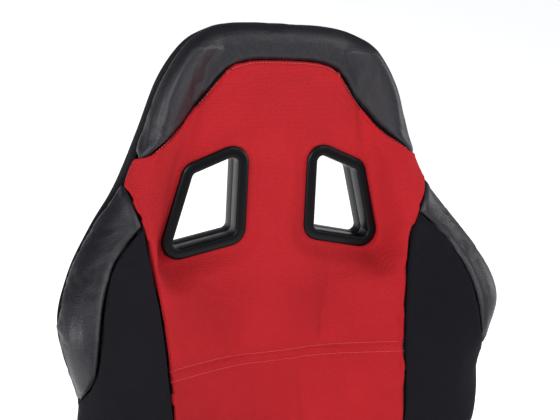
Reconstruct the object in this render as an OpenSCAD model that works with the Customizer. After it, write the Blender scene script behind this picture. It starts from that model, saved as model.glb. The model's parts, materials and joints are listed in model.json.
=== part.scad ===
// Reclining racing seat on slide rails.
// Frame: origin at the centre of the four floor bolts, +Z up, the occupant faces -Y.
// Backrest pieces are drawn in their own frame: x across, y towards the rear, z up along the backrest,
// with the recline pivot at its origin, and are then leaned back by `recline`.

/* [Backrest] */
// Lean of the backrest behind vertical, degrees
recline = 14; // [8:1:24]
// Width over the shoulder wings
shoulder_w = 559; // [480:1:620]
// Height of the widest point of the wings above the pivot
shoulder_z = 463; // [440:1:500]
// Width at the waist
waist_w = 510; // [430:1:560]
// Width of the lower backrest, between the hinge brackets
hip_w = 402; // [330:1:470]
// Width at the neck, where the wings end and the headrest begins
neck_w = 396; // [350:1:460]
// Width of the headrest just below its top corners
head_w = 304; // [250:1:360]
// Height of the top of the headrest above the pivot
head_top = 793; // [760:1:860]
// Forward bulge of the lumbar area
lumbar_bulge = 50; // [30:1:60]
// Depth of the shoulder wings in front of the back's centre line
wing_depth = 80; // [50:1:95]
// Depth of the side rolls of the headrest in front of its centre
head_roll_depth = 39; // [20:1:50]
// Half width of the red centre panel over the back
centre_half = 156; // [130:1:170]
// Distance of the flat rear face behind the slot bezels' front plane
rear_depth = 34; // [32:1:60]

/* [Harness slots] */
// Distance of each slot's inner edge from the centre line
slot_inner = 53; // [46:1:62]
// Height of the slot's inner edge
slot_h = 100; // [80:1:115]
// Height of the slot's upper inner corner above the pivot
slot_top_z = 637; // [620:1:650]
// Width of the bezel's flange
bezel_flange = 14; // [9:1:17]
// Wall of the bezel's tube
bezel_wall = 2.5; // [2:0.1:3.2]

/* [Cushion] */
// Width over the cushion
cushion_w = 452; // [400:1:470]
// Depth of the cushion, front to rear
cushion_d = 420; // [380:1:450]
// Height of the cushion's centre at the rear
cushion_z = 212; // [200:1:225]
// Height of the thigh bolsters above the cushion's centre
thigh_depth = 72; // [45:1:85]
// Half width of the red centre panel on the cushion
cushion_centre_half = 138; // [115:1:150]

/* [Hinge] */
// Height of the recline pivot above the floor plane
pivot_z = 190; // [180:1:215]
// Distance of the pivot behind the floor bolts' centre
pivot_y = 205; // [195:1:225]
// Radius of the drive shaft
shaft_r = 6; // [5:0.5:8]
// Thickness of the hinge plates
plate_t = 4.5; // [3:0.5:6]
// Radius of the recliner disc
disc_r = 34; // [28:1:38]
// Radius of the hand wheel
knob_r = 31; // [26:1:36]

/* [Rails] */
// Distance between the centres of the two rails
rail_gap = 350; // [300:1:352]
// Length of a rail
rail_len = 380; // [340:1:440]
// Width of a lower rail
rail_w = 46; // [40:1:52]
// Thickness of the rail steel
rail_t = 2.5; // [2:0.1:3]
// Travel of the seat each way
slide_travel = 90; // [60:1:110]
// Radius of the floor bolt holes
floor_hole_r = 4.25; // [4:0.05:5.5]
// Radius of the rail bolts' shanks
bolt_r = 4; // [3:0.1:5]

/* [Frame] */
// Radius of the backrest tube
tube_r = 9; // [8:0.5:10]
// Wall of the tubes
tube_wall = 1.6; // [1.2:0.1:2.5]
// Width of a side member of the base
member_w = 30; // [26:1:36]
// Height of a side member of the base
member_h = 40; // [32:1:46]
// Thickness of the sewn cover
cover_t = 3; // [2:0.1:3.5]

/* [Hidden] */

RED = "firebrick";
FABRIC = [0.09, 0.09, 0.10];
LEATHER = [0.15, 0.15, 0.17];
STEEL = [0.35, 0.36, 0.38];
ZINC = [0.70, 0.71, 0.72];
PLASTIC = [0.07, 0.07, 0.08];
FOAM = [0.85, 0.80, 0.62];

eps = 0.01;
seam_gap = 0.4;         // half the gap between two neighbouring cover panels
foam_gap = 5;             // between the cover and the foam
play = 0.5;             // side play between hinge plates that turn on each other

// ---------- curves ----------
function mix(a, b, t) = a + (b - a) * t;
function smooth(t) = let (s = max(0, min(1, t))) s * s * (3 - 2 * s);
function span(keys, t, i = 0) = (i >= len(keys) - 2 || t < keys[i + 1][0]) ? i : span(keys, t, i + 1);
function slope(keys, i) =
    let (a = max(0, i - 1), b = min(len(keys) - 1, i + 1)) (keys[b][1] - keys[a][1]) / (keys[b][0] - keys[a][0]);
// smooth curve through [position, value] keys
function curve(keys, t) =
    let (i = span(keys, t), h = keys[i + 1][0] - keys[i][0], s = max(0, min(1, (t - keys[i][0]) / h)))
    (2 * s ^ 3 - 3 * s ^ 2 + 1) * keys[i][1] + (s ^ 3 - 2 * s ^ 2 + s) * h * slope(keys, i)
    + (3 * s ^ 2 - 2 * s ^ 3) * keys[i + 1][1] + (s ^ 3 - s ^ 2) * h * slope(keys, i + 1);
// smooth line through 2D points, k steps between two of them
function spline2(points, k) =
    let (xs = [for (i = [0:len(points) - 1]) [i, points[i][0]]],
         ys = [for (i = [0:len(points) - 1]) [i, points[i][1]]])
    [for (i = [0:(len(points) - 1) * k]) [curve(xs, i / k), curve(ys, i / k)]];
function seg_dist(p, a, b) =
    let (d = b - a, t = max(0, min(1, ((p - a) * d) / (d * d)))) norm(p - a - t * d);
function line_dist(p, line) = min([for (i = [0:len(line) - 2]) seg_dist(p, line[i], line[i + 1])]);
// fall of a rounded edge of radius r at distance d from the outline
function edge_fall(d, r) = d >= r ? 0 : r - sqrt(max(0, r * r - (r - d) * (r - d)));

// ---------- backrest surface ----------
back_z0 = 20;                       // lower edge of the upholstery above the pivot
hinge_z = 172;                      // top of the hinge brackets' zone, where the bolsters widen
seam_z = shoulder_z - 71;           // lower tip of the shoulder panel
neck_z = shoulder_z + 145;
head_z = head_top - 71;             // height of head_w
outline_keys = [
    [hip_w / 2 - 3, back_z0], [hip_w / 2 - 1, 100], [hip_w / 2, hinge_z],
    [mix(hip_w, waist_w, 0.5) / 2, hinge_z + 45], [mix(hip_w, waist_w, 0.88) / 2, hinge_z + 98],
    [waist_w / 2, hinge_z + 160], [mix(waist_w, shoulder_w, 0.15) / 2, seam_z - 8],
    [shoulder_w / 2, shoulder_z], [mix(neck_w, shoulder_w, 0.83) / 2, shoulder_z + 52],
    [mix(neck_w, shoulder_w, 0.46) / 2, shoulder_z + 97], [neck_w / 2, neck_z],
    [mix(neck_w, head_w, 0.52) / 2, mix(neck_z, head_z, 0.48)], [head_w / 2, head_z],
    [head_w / 2 - 28, head_top - 29], [head_w / 2 - 57, head_top - 10],
    [head_w / 2 - 92, head_top - 2], [0, head_top]];
outline = spline2(outline_keys, 3);
outline_width = [for (i = [0:len(outline_keys) - 2]) [outline_keys[i][1], outline_keys[i][0]]];
function half_width(z) = curve(outline_width, z);

wc_keys = [[back_z0, -6], [60, 16], [120, 36], [200, lumbar_bulge], [300, lumbar_bulge - 4], [seam_z, 30],
    [shoulder_z + 12, 12], [shoulder_z + 97, 0], [neck_z + 32, -1], [head_z, 5], [head_top, 14]];
wm_keys = [[back_z0, 8], [60, 34], [120, 60], [200, wing_depth + 8], [290, wing_depth + 40],
    [345, wing_depth + 43], [seam_z, wing_depth + 44],
    [shoulder_z + 7, 38 + wing_depth], [shoulder_z + 102, mix(head_roll_depth, wing_depth, 0.5)],
    [neck_z + 37, head_roll_depth], [head_z, head_roll_depth - 4], [head_top, head_roll_depth - 10]];
rise_keys = [[back_z0, 0.3], [200, 0.18], [seam_z - 40, 0.05], [seam_z, 0.15], [shoulder_z - 38, 0.19],
    [shoulder_z + 7, 0.21], [shoulder_z + 37, 0.26], [shoulder_z + 77, 0.29], [shoulder_z + 102, 0.25], [neck_z - 8, 0.5],
    [neck_z + 37, 0.62], [head_top, 0.6]];
edge_keys = [[back_z0, 12], [120, 20], [250, 26], [seam_z, 30], [shoulder_z + 7, 30], [neck_z + 37, 26],
    [head_top, 22]];
taper_keys = [[back_z0, 3], [300, 10], [shoulder_z + 7, 14], [neck_z, 5], [head_top, 4]];
rear_edge_keys = [[back_z0, -rear_depth + 1], [hinge_z - 10, -rear_depth + 1], [300, 10], [shoulder_z + 7, 34],
    [shoulder_z + 81, 10], [shoulder_z + 128, -23], [neck_z + 12, -rear_depth + 1], [head_top, -rear_depth + 1]];

// forward position of the padded surface, before its edge rolls away
function base_w(x, z) =
    let (u = abs(x) / half_width(min(z, head_z + 40)), a = curve(rise_keys, z))
    mix(curve(wc_keys, z), curve(wm_keys, z), smooth((u - a) / (0.97 - a)));
// distance outside a slot, by its sides
function slot_dist(x, z) = max([for (i = [0:3])
    let (a = slot_keys[i], b = slot_keys[(i + 1) % 4], d = b - a)
    ((z - a[1]) * -d[0] + (x - a[0]) * d[1]) / norm(d) * -1]);
// the back is flat under the bezels and blends into the padding around them
function recess(x, z) = 1 - smooth((slot_dist(abs(x), z) - bezel_flange - 14) / 34);
function front_w(x, z) =
    mix(base_w(x, z) - edge_fall(line_dist([abs(x), z], outline), curve(edge_keys, z)), -0.4, recess(x, z));
function rear_w(x, z) =
    let (u = abs(x) / half_width(min(z, head_z + 40)))
    mix(-rear_depth, curve(rear_edge_keys, z), smooth((u - 0.77) / 0.23));

// seams, as half widths over height
red_keys = [[back_z0, centre_half], [seam_z + 23, centre_half], [shoulder_z + 22, centre_half + 8],
    [shoulder_z + 55, centre_half + 14], [shoulder_z + 102, neck_w / 2 - 18], [neck_z - 1, neck_w / 2 - 1]];
red_head_keys = [[neck_z + 28, neck_w / 2 - 14], [neck_z + 47, head_w / 2], [neck_z + 62, head_w / 2 - 17.5],
    [neck_z + 76, head_w / 2 - 29.5], [mix(neck_z + 76, head_top - 49, 0.5), head_w / 2 - 56],
    [head_top - 49, 66], [head_top - 46, 50]];
function red_half(z) =
    z <= neck_z - 1 ? curve(red_keys, z)
    : z < neck_z + 28 ? mix(neck_w / 2 - 1, neck_w / 2 - 14, (z - neck_z + 1) / 29)
    : curve(red_head_keys, z);
leather_keys = [[seam_z, mix(waist_w, shoulder_w, 0.15) / 2 + 1], [seam_z + 16, shoulder_w / 2 - 29],
    [seam_z + 36, shoulder_w / 2 - 34], [shoulder_z, shoulder_w / 2 - 40], [shoulder_z + 27, shoulder_w / 2 - 45],
    [shoulder_z + 48, shoulder_w / 2 - 52], [shoulder_z + 68, shoulder_w / 2 - 62],
    [shoulder_z + 85, shoulder_w / 2 - 79], [shoulder_z + 102, neck_w / 2 - 18]];
function leather_half(z) = z < seam_z ? half_width(z) : curve(leather_keys, z);

// ---------- cushion surface ----------
cushion_y1 = pivot_y - 57;                  // rear end
cushion_y0 = cushion_y1 - cushion_d;        // front end
skirt_z = 76;                               // lower edge of the cover
cushion_rear_half = hip_w / 2 + 1;
cushion_outline_keys = [[cushion_rear_half, cushion_y1], [cushion_rear_half, cushion_y1 - 70],
    [cushion_w / 2 - 4, cushion_y1 - 125], [cushion_w / 2, cushion_y1 - 200], [cushion_w / 2, cushion_y0 + 90],
    [cushion_w / 2 - 10, cushion_y0 + 38], [cushion_w / 2 - 45, cushion_y0 + 8],
    [cushion_w / 2 - 95, cushion_y0], [0, cushion_y0]];
cushion_outline = spline2(cushion_outline_keys, 3);
cushion_width = [for (i = [len(cushion_outline_keys) - 2:-1:0]) [cushion_outline_keys[i][1], cushion_outline_keys[i][0]]];
function cushion_half(y) = curve(cushion_width, y);
cc_keys = [[cushion_y0, cushion_z - 2], [cushion_y0 + 35, cushion_z + 20], [cushion_y0 + 90, cushion_z + 30],
    [cushion_y0 + 200, cushion_z + 14], [cushion_y0 + 320, cushion_z], [cushion_y1, cushion_z]];
cm_keys = [[cushion_y0, cushion_z + 14], [cushion_y0 + 60, cushion_z + thigh_depth],
    [cushion_y0 + 140, cushion_z + thigh_depth + 16], [cushion_y0 + 230, cushion_z + thigh_depth + 4],
    [cushion_y1 - 95, cushion_z + 46], [cushion_y1 - 42, cushion_z + 10], [cushion_y1, cushion_z - 6]];
function cushion_base(x, y) =
    let (u = abs(x) / cushion_half(max(y, cushion_y0 + 8)))
    mix(curve(cc_keys, y), curve(cm_keys, y), smooth((u - 0.38) / 0.5));
function cushion_top(x, y) =
    cushion_base(x, y) - edge_fall(line_dist([abs(x), y], cushion_outline), 30);
front_seam_y = cushion_y0 + 50;             // seam between the centre panel and the front panel
function centre_edge(y) = cushion_centre_half + 12 * smooth((cushion_y0 + 200 - y) / 200);
function roll_edge(y) = cushion_half(y) - 34;

// ---------- mesh helpers ----------
function quads(m, n, base, flip) = [for (i = [0:m - 2], j = [0:n - 2])
    let (a = base + i * n + j, b = a + 1, c = a + n + 1, d = a + n)
    each (flip ? [[a, c, b], [a, d, c]] : [[a, b, c], [a, c, d]])];
function strip(a, b, flip) = [for (i = [0:len(a) - 2])
    each (flip ? [[a[i], b[i], b[i + 1]], [a[i], b[i + 1], a[i + 1]]]
               : [[a[i], b[i + 1], b[i]], [a[i], a[i + 1], b[i + 1]]])];
// closed sheet between two grids of points with m rows of n
module sheet(top, under) {
    m = len(top);
    n = len(top[0]);
    k = m * n;
    first = [for (j = [0:n - 1]) j];
    last = [for (j = [0:n - 1]) (m - 1) * n + j];
    left = [for (i = [0:m - 1]) i * n];
    right = [for (i = [0:m - 1]) i * n + n - 1];
    polyhedron(
        points = concat([for (r = top) each r], [for (r = under) each r]),
        faces = concat(quads(m, n, 0, true), quads(m, n, k, false),
            strip(first, [for (j = first) j + k], false), strip(last, [for (j = last) j + k], true),
            strip(left, [for (j = left) j + k], true), strip(right, [for (j = right) j + k], false)));
}
function ring(p, t, ref, r, n) =
    let (u = cross(t, ref) / norm(cross(t, ref)), v = cross(u, t) / norm(t))
    [for (i = [0:n - 1]) p + r * (cos(360 * i / n) * u + sin(360 * i / n) * v)];
function tangent(line, i) = line[min(len(line) - 1, i + 1)] - line[max(0, i - 1)];
function wrap_faces(m, n, base, flip) = [for (i = [0:m - 2], j = [0:n - 1])
    let (a = base + i * n + j, b = base + i * n + (j + 1) % n, c = b + n, d = a + n)
    each (flip ? [[a, c, b], [a, d, c]] : [[a, b, c], [a, c, d]])];
// round wire swept along a line of points that lies square to ref
module wire(line, r, ref, n = 6) {
    m = len(line);
    polyhedron(
        points = [for (i = [0:m - 1]) each ring(line[i], tangent(line, i), ref, r, n)],
        faces = concat(wrap_faces(m, n, 0, false),
            [[for (j = [0:n - 1]) n - 1 - j]], [[for (j = [0:n - 1]) (m - 1) * n + j]]));
}
// hollow tube swept along a line of points that lies square to ref
module pipe(line, r, wall, ref, n = 12) {
    m = len(line);
    k = m * n;
    polyhedron(
        points = concat([for (i = [0:m - 1]) each ring(line[i], tangent(line, i), ref, r, n)],
            [for (i = [0:m - 1]) each ring(line[i], tangent(line, i), ref, r - wall, n)]),
        faces = concat(wrap_faces(m, n, 0, false), wrap_faces(m, n, k, true),
            [for (j = [0:n - 1]) let (b = (j + 1) % n) each [[j, k + b, b], [j, k + j, k + b]]],
            [for (j = [0:n - 1]) let (a = (m - 1) * n + j, b = (m - 1) * n + (j + 1) % n)
                each [[a, b, k + b], [a, k + b, k + a]]]));
}
module both() {
    children();
    mirror([1, 0, 0]) children();
}
module along_x(x0, x1, r) { translate([x0, 0, 0]) rotate([0, 90, 0]) cylinder(h = x1 - x0, r = r, $fn = 48); }
module up(r, h) { cylinder(r = r, h = h, $fn = 48); }
module hex_head(w, h) { cylinder(r = w / 2 / cos(30), h = h, $fn = 6); }
module backrest() { translate([0, pivot_y, pivot_z]) rotate([-recline, 0, 0]) children(); }
module at_pivot() { translate([0, pivot_y, pivot_z]) children(); }
// plate standing across x, its outline given in the y-z plane
module plate(x0, t) { translate([x0, 0, 0]) rotate([90, 0, 90]) linear_extrude(t) children(); }

// ---------- rails ----------
rail_x = rail_gap / 2;
lower_h = 26;                           // height of a lower rail
lip = 12;                               // width of a lower rail's inward lip
roller_r = 2.85;
roller_space = 6.2;
flange_z = rail_t + roller_space;       // underside of the upper rail's flange
upper_z = 34;                           // underside of the upper rail's top plate
upper_top = upper_z + 3;
floor_hole_y = rail_len / 2 + 17;
tab_y = floor_hole_y + 17;
rail_bolt_y = rail_len / 2 - 50;
notch_pitch = 10;
stop_r = 2.5;

module lower_rail(side) {
    color(STEEL) translate([side * rail_x, 0, 0]) {
        difference() {
            rotate([90, 0, 0]) linear_extrude(rail_len, center = true) polygon([
                [-rail_w / 2, 0], [rail_w / 2, 0], [rail_w / 2, lower_h], [rail_w / 2 - lip, lower_h],
                [rail_w / 2 - lip, lower_h - rail_t], [rail_w / 2 - rail_t, lower_h - rail_t],
                [rail_w / 2 - rail_t, rail_t], [-rail_w / 2 + rail_t, rail_t],
                [-rail_w / 2 + rail_t, lower_h - rail_t], [-rail_w / 2 + lip, lower_h - rail_t],
                [-rail_w / 2 + lip, lower_h], [-rail_w / 2, lower_h]]);
            // notches for the latch, in the lip on the seat's inner side
            for (y = [-14:1])
                translate([-side * (rail_w / 2 - lip / 2), y * notch_pitch, lower_h])
                    cube([6, 5, 3 * rail_t], center = true);
        }
        // mounting tabs with the floor bolt holes
        for (e = [-1, 1]) difference() {
            translate([-rail_w / 2, e > 0 ? rail_len / 2 : -tab_y, 0])
                cube([rail_w, tab_y - rail_len / 2, 2 * rail_t]);
            translate([0, e * floor_hole_y, -1]) up(floor_hole_r, 2 * rail_t + 2);
        }
        translate([-4, -4, rail_t]) cube([8, 8, 13]);
    }
}
roller_off = 13;
roller_ys = [-120, -60, 60, 120];
module roller_spots() {
    for (s = [-1, 1], o = [-1, 1], y = roller_ys) translate([s * rail_x + o * roller_off, y, rail_t + roller_space / 2])
        children();
}
module rail_rollers() { color(ZINC) roller_spots() along_x(-4, 4, roller_r); }
module roller_cages() {
    color("gray") difference() {
        for (s = [-1, 1], o = [-1, 1]) translate([s * rail_x + o * roller_off, 0, rail_t + roller_space / 2])
            cube([9.4, 270, 2], center = true);
        roller_spots() cube([8.6, 2 * roller_r + 0.8, 4], center = true);
    }
}
web = 10.5;                             // half width of the upper rail's web
module upper_rail(side) {
    color(STEEL) translate([side * rail_x, 0, 0]) {
        difference() {
            rotate([90, 0, 0]) linear_extrude(rail_len, center = true) polygon([
                [-18, flange_z], [-web + rail_t, flange_z], [-web + rail_t, upper_z], [web - rail_t, upper_z],
                [web - rail_t, flange_z], [18, flange_z], [18, flange_z + rail_t], [web, flange_z + rail_t],
                [web, upper_z], [14, upper_z], [14, upper_top], [-14, upper_top], [-14, upper_z], [-web, upper_z],
                [-web, flange_z + rail_t], [-18, flange_z + rail_t]]);
            for (y = [-1, 1]) translate([0, y * rail_bolt_y, upper_z - 1]) up(bolt_r + 0.25, 6);
            for (y = [-1, 1]) translate([0, y * stop_y, stop_z]) along_x(-20, 20, stop_r);
        }
        // lug and pin that carry the slide handle
        translate([-side * (rail_x - handle_x - 6) - 1.5, handle_y - 12, 24]) cube([3, 24, upper_top - 24]);
        translate([side > 0 ? -(rail_x - handle_x - 6) : 14 - eps, handle_y - 12, upper_z])
            cube([rail_x - handle_x - 6 - 14 + eps, 24, 3]);
        translate([0, handle_y, handle_z])
            along_x(side > 0 ? handle_x - rail_x - 6 : rail_x - handle_x - 6,
                side > 0 ? handle_x - rail_x + 6 : rail_x - handle_x + 6, 4);
    }
}
stop_y = 4 + stop_r + slide_travel + 0.5;
stop_z = rail_t + 10;
module slide_stop_pins() {
    color(ZINC) for (s = [-1, 1], e = [-1, 1]) translate([s * rail_x, e * stop_y, stop_z])
        along_x(-web - 1, web + 1, stop_r);
}
module glide_pads() {
    color(PLASTIC) for (s = [-1, 1], o = [-1, 1], e = [-1, 1])
        translate([s * rail_x + o * 14.5, e * (rail_len / 2 - 40), flange_z + rail_t])
            translate([-3, -15, 0]) cube([6, 30, lower_h - rail_t - flange_z - rail_t - 0.3]);
}

// ---------- base ----------
member_z = upper_top;
member_top = member_z + member_h;
member_y0 = -225;
member_y1 = 235;
cross_r = 11;
cross_z = member_top + cross_r;
front_tube_y = -205;
rear_tube_y = 133;
flange_y0 = 152;
flange_y1 = 238;
flange_bolts = [flange_y0 + 14, flange_y1 - 14];
module rail_bolts() {
    color(ZINC) for (s = [-1, 1], e = [-1, 1]) translate([s * rail_x, e * rail_bolt_y, 0]) {
        translate([0, 0, upper_z - 5]) union() {
            hex_head(13, 5);
            up(bolt_r, 22);
        }
        translate([0, 0, member_z + 2.5]) difference() {
            hex_head(13, 6.5);
            translate([0, 0, -1]) up(bolt_r + 0.02, 10);
        }
    }
}
module side_member(side) {
    color(STEEL) translate([side * rail_x, 0, 0]) difference() {
        translate([-member_w / 2, member_y0, member_z]) cube([member_w, member_y1 - member_y0, member_h]);
        translate([-member_w / 2 + 2.5, member_y0 - 1, member_z + 2.5])
            cube([member_w - 5, member_y1 - member_y0 + 2, member_h - 5]);
        for (e = [-1, 1]) translate([0, e * rail_bolt_y, member_z - 1]) up(bolt_r + 0.25, 6);
        for (y = flange_bolts) translate([0, y, member_top - 4]) up(bolt_r + 0.25, 6);
    }
}
module cross_tube(y) {
    color(STEEL) translate([0, y, cross_z]) difference() {
        along_x(-rail_x - member_w / 2, rail_x + member_w / 2, cross_r);
        along_x(-rail_x - member_w, rail_x + member_w, cross_r - tube_wall);
    }
}
spring_r = 1.9;
module base_springs() {
    a = front_tube_y + cross_r + spring_r;
    b = rear_tube_y - cross_r - spring_r;
    color(ZINC) for (s = [-1, 1], x = [36, 104])
        wire([for (i = [0:28]) [s * (x + 19 * sin(i * 90)), mix(a, b, i / 28), cross_z]], spring_r, [0, 0, 1]);
}

// ---------- hinge ----------
// from the centre outwards: backrest bracket, recliner arm, moving disc, housing, hinge plate
bracket_x = hip_w / 2 + 7;
arm_x = bracket_x + plate_t + play;
disc_x = arm_x + plate_t;
housing_x = disc_x + 4 + play;
hinge_x = housing_x + 7;
cover_x = hinge_x + plate_t + 0.5;
cover_depth = 16;
shaft_play = 0.05;
module shaft_hole() { along_x(-400, 400, shaft_r + shaft_play); }

module hinge_plate(side) {
    s = side > 0 ? 0 : 1;
    color(STEEL) mirror([s, 0, 0]) difference() {
        union() {
            plate(hinge_x, plate_t) union() {
                polygon([[flange_y0, member_top], [flange_y1, member_top], [pivot_y + disc_r + 4, pivot_z],
                    [pivot_y - disc_r - 4, pivot_z]]);
                translate([pivot_y, pivot_z]) circle(r = disc_r + 6, $fn = 64);
            }
            translate([rail_x - member_w / 2, flange_y0, member_top])
                cube([hinge_x + plate_t - rail_x + member_w / 2, flange_y1 - flange_y0, 4]);
        }
        at_pivot() shaft_hole();
        for (y = flange_bolts) translate([rail_x, y, member_top - 1]) up(bolt_r + 0.25, 6);
    }
}
module hinge_bolts() {
    color(ZINC) for (s = [-1, 1], y = flange_bolts) translate([s * rail_x, y, 0]) {
        translate([0, 0, member_top + 4]) hex_head(13, 5);
        translate([0, 0, member_top - 18]) up(bolt_r, 22 + eps);
        translate([0, 0, member_top - 9]) difference() {
            hex_head(13, 6.5);
            translate([0, 0, -1]) up(bolt_r + 0.02, 10);
        }
    }
}
module recliner_housing(side) {
    color(STEEL) at_pivot() mirror([side > 0 ? 0 : 1, 0, 0]) difference() {
        union() {
            along_x(housing_x, hinge_x, disc_r);
            along_x(housing_x, hinge_x - 3, disc_r + 3);
        }
        shaft_hole();
    }
}
pin_y = 22;
pin_z = 78;
pin_r = 5;
bush_r = 14;
module recliner_arm(side) {
    color(ZINC) backrest() mirror([side > 0 ? 0 : 1, 0, 0]) difference() {
        union() {
            plate(arm_x, plate_t) union() {
                circle(r = disc_r + 4, $fn = 64);
                polygon([[-disc_r, 8], [pin_y - 15, pin_z + 4], [pin_y + 15, pin_z], [disc_r + 3, 0]]);
                translate([pin_y, pin_z]) circle(r = 15, $fn = 48);
            }
            along_x(disc_x - eps, disc_x + 4, disc_r);
            along_x(bracket_x + 0.2, arm_x + eps, bush_r);
            translate([0, pin_y, pin_z]) along_x(bracket_x - 4.5, arm_x + eps, pin_r);
        }
        shaft_hole();
    }
}
module drive_shaft() { color(ZINC) at_pivot() along_x(-wheel_x - 14, wheel_x + 14, shaft_r); }
wheel_x = cover_x + cover_depth + 1.5;
wheel_t = 24;
module hand_wheel(side) {
    color(PLASTIC) at_pivot() mirror([side > 0 ? 0 : 1, 0, 0]) difference() {
        union() {
            along_x(wheel_x, wheel_x + wheel_t - 4, knob_r);
            along_x(wheel_x + wheel_t - 4 - eps, wheel_x + wheel_t, knob_r - 6);
        }
        translate([wheel_x - 1, 0, 0]) along_x(0, 15, shaft_r);
        for (a = [0:30:330]) rotate([a, 0, 0]) translate([0, knob_r + 2.5, 0])
            along_x(wheel_x - 1, wheel_x + wheel_t + 1, 4.5);
    }
}
cover_y0 = -20;
cover_y1 = pivot_y + disc_r + 20;
module cover_outline() {
    hull() {
        translate([pivot_y, pivot_z]) circle(r = disc_r + 18, $fn = 64);
        translate([cover_y0 + 22, 120]) circle(r = 22, $fn = 48);
        translate([cover_y0 + 12, 76]) circle(r = 12, $fn = 32);
        translate([cover_y1 - 18, 76]) circle(r = 12, $fn = 32);
    }
}
module side_cover(side) {
    color(PLASTIC) mirror([side > 0 ? 0 : 1, 0, 0]) difference() {
        plate(hinge_x + plate_t + 0.5, cover_depth) cover_outline();
        plate(hinge_x + plate_t - 0.5, cover_depth - 1.5) offset(delta = -2.5) cover_outline();
        at_pivot() along_x(0, 400, shaft_r + 2);
        for (p = cover_screws) translate([0, p[0], p[1]]) along_x(0, 400, 2.2);
    }
}
cover_screws = [[cover_y0 + 20, 98], [pivot_y - 8, 88]];
module side_cover_screws() {
    color(ZINC) both() for (p = cover_screws) translate([0, p[0], p[1]]) {
        along_x(cover_x + cover_depth, cover_x + cover_depth + 2, 4.5);
        along_x(cover_x + 2, cover_x + cover_depth + eps, 2);
    }
}

// ---------- cushion ----------
function cushion_grid(lo, hi, y0, y1, m, n, drop) = [for (i = [0:m]) let (y = mix(y0, y1, i / m))
    [for (j = [0:n]) let (x = mix(lo(y), hi(y), j / n)) [x, y, cushion_top(x, y) - drop]]];
module cushion_sheet(lo, hi, y0, y1, m, n) {
    sheet(cushion_grid(lo, hi, y0, y1, m, n, 0), cushion_grid(lo, hi, y0, y1, m, n, cover_t));
}
front_y = front_seam_y + seam_gap;
rear_y = cushion_y1 - 1;
module cushion_centre() {
    color(RED) cushion_sheet(function (y) -centre_edge(y) + seam_gap, function (y) centre_edge(y) - seam_gap,
        front_y, rear_y, 14, 12);
}
module cushion_bolster(side) {
    color(FABRIC) mirror([side > 0 ? 0 : 1, 0, 0])
        cushion_sheet(function (y) centre_edge(y) + seam_gap, function (y) roll_edge(y) - seam_gap,
            front_y, rear_y, 14, 4);
}
module cushion_roll(side) {
    color(LEATHER) mirror([side > 0 ? 0 : 1, 0, 0])
        cushion_sheet(function (y) roll_edge(y) + seam_gap, function (y) cushion_half(y) - 1.5,
            front_y, rear_y, 14, 6);
}
module cushion_front() {
    color(FABRIC) sheet(
        [for (i = [0:7]) let (y = mix(cushion_y0 + 1.5, front_seam_y - seam_gap, (i / 7) ^ 1.6))
            [for (j = [-8:8]) let (x = j / 8 * (cushion_half(max(y, cushion_y0 + 0.5)) - 2)) [x, y, cushion_top(x, y)]]],
        [for (i = [0:7]) let (y = mix(cushion_y0 + 1.5, front_seam_y - seam_gap, (i / 7) ^ 1.6))
            [for (j = [-8:8]) let (x = j / 8 * (cushion_half(max(y, cushion_y0 + 0.5)) - 2)) [x, y, cushion_top(x, y) - cover_t]]]);
}
// wall of cloth under the rolls, open at the rear
module cushion_skirt() {
    line = concat(cushion_outline, [for (i = [len(cushion_outline) - 2:-1:0])
        [-cushion_outline[i][0], cushion_outline[i][1]]]);
    function inward(i) = let (t = tangent(line, i)) [-t[1], t[0]] / norm(t);
    function top_z(p) = cushion_base(p[0], p[1]) - 30 - cover_t - 1;
    outer = [for (p = line) [[p[0], p[1], skirt_z], [p[0], p[1], top_z(p)]]];
    inner = [for (i = [0:len(line) - 1]) let (q = line[i] - cover_t * inward(i))
        [[q[0], q[1], skirt_z], [q[0], q[1], top_z(line[i])]]];
    color(FABRIC) sheet(outer, inner);
}
foam_z0 = cross_z + cross_r + 2;
module cushion_foam() {
    inset = cover_t + foam_gap;
    function half(y) = cushion_half(y) - inset - 2;
    function foam_top(x, y) = min([for (d = [[-8, 0], [8, 0], [0, -8], [0, 8], [0, 0]])
        cushion_top(x + d[0], y + d[1])]) - inset;
    rows = [for (i = [0:18]) mix(cushion_y0 + inset + 4, cushion_y1 - 3, i / 18)];
    color(FOAM) sheet(
        [for (y = rows) [for (j = [-9:9]) let (x = half(y) * sin(j * 10)) [x, y, foam_top(x, y)]]],
        [for (y = rows) [for (j = [-9:9]) [half(y) * sin(j * 10), y, foam_z0]]]);
}

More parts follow.
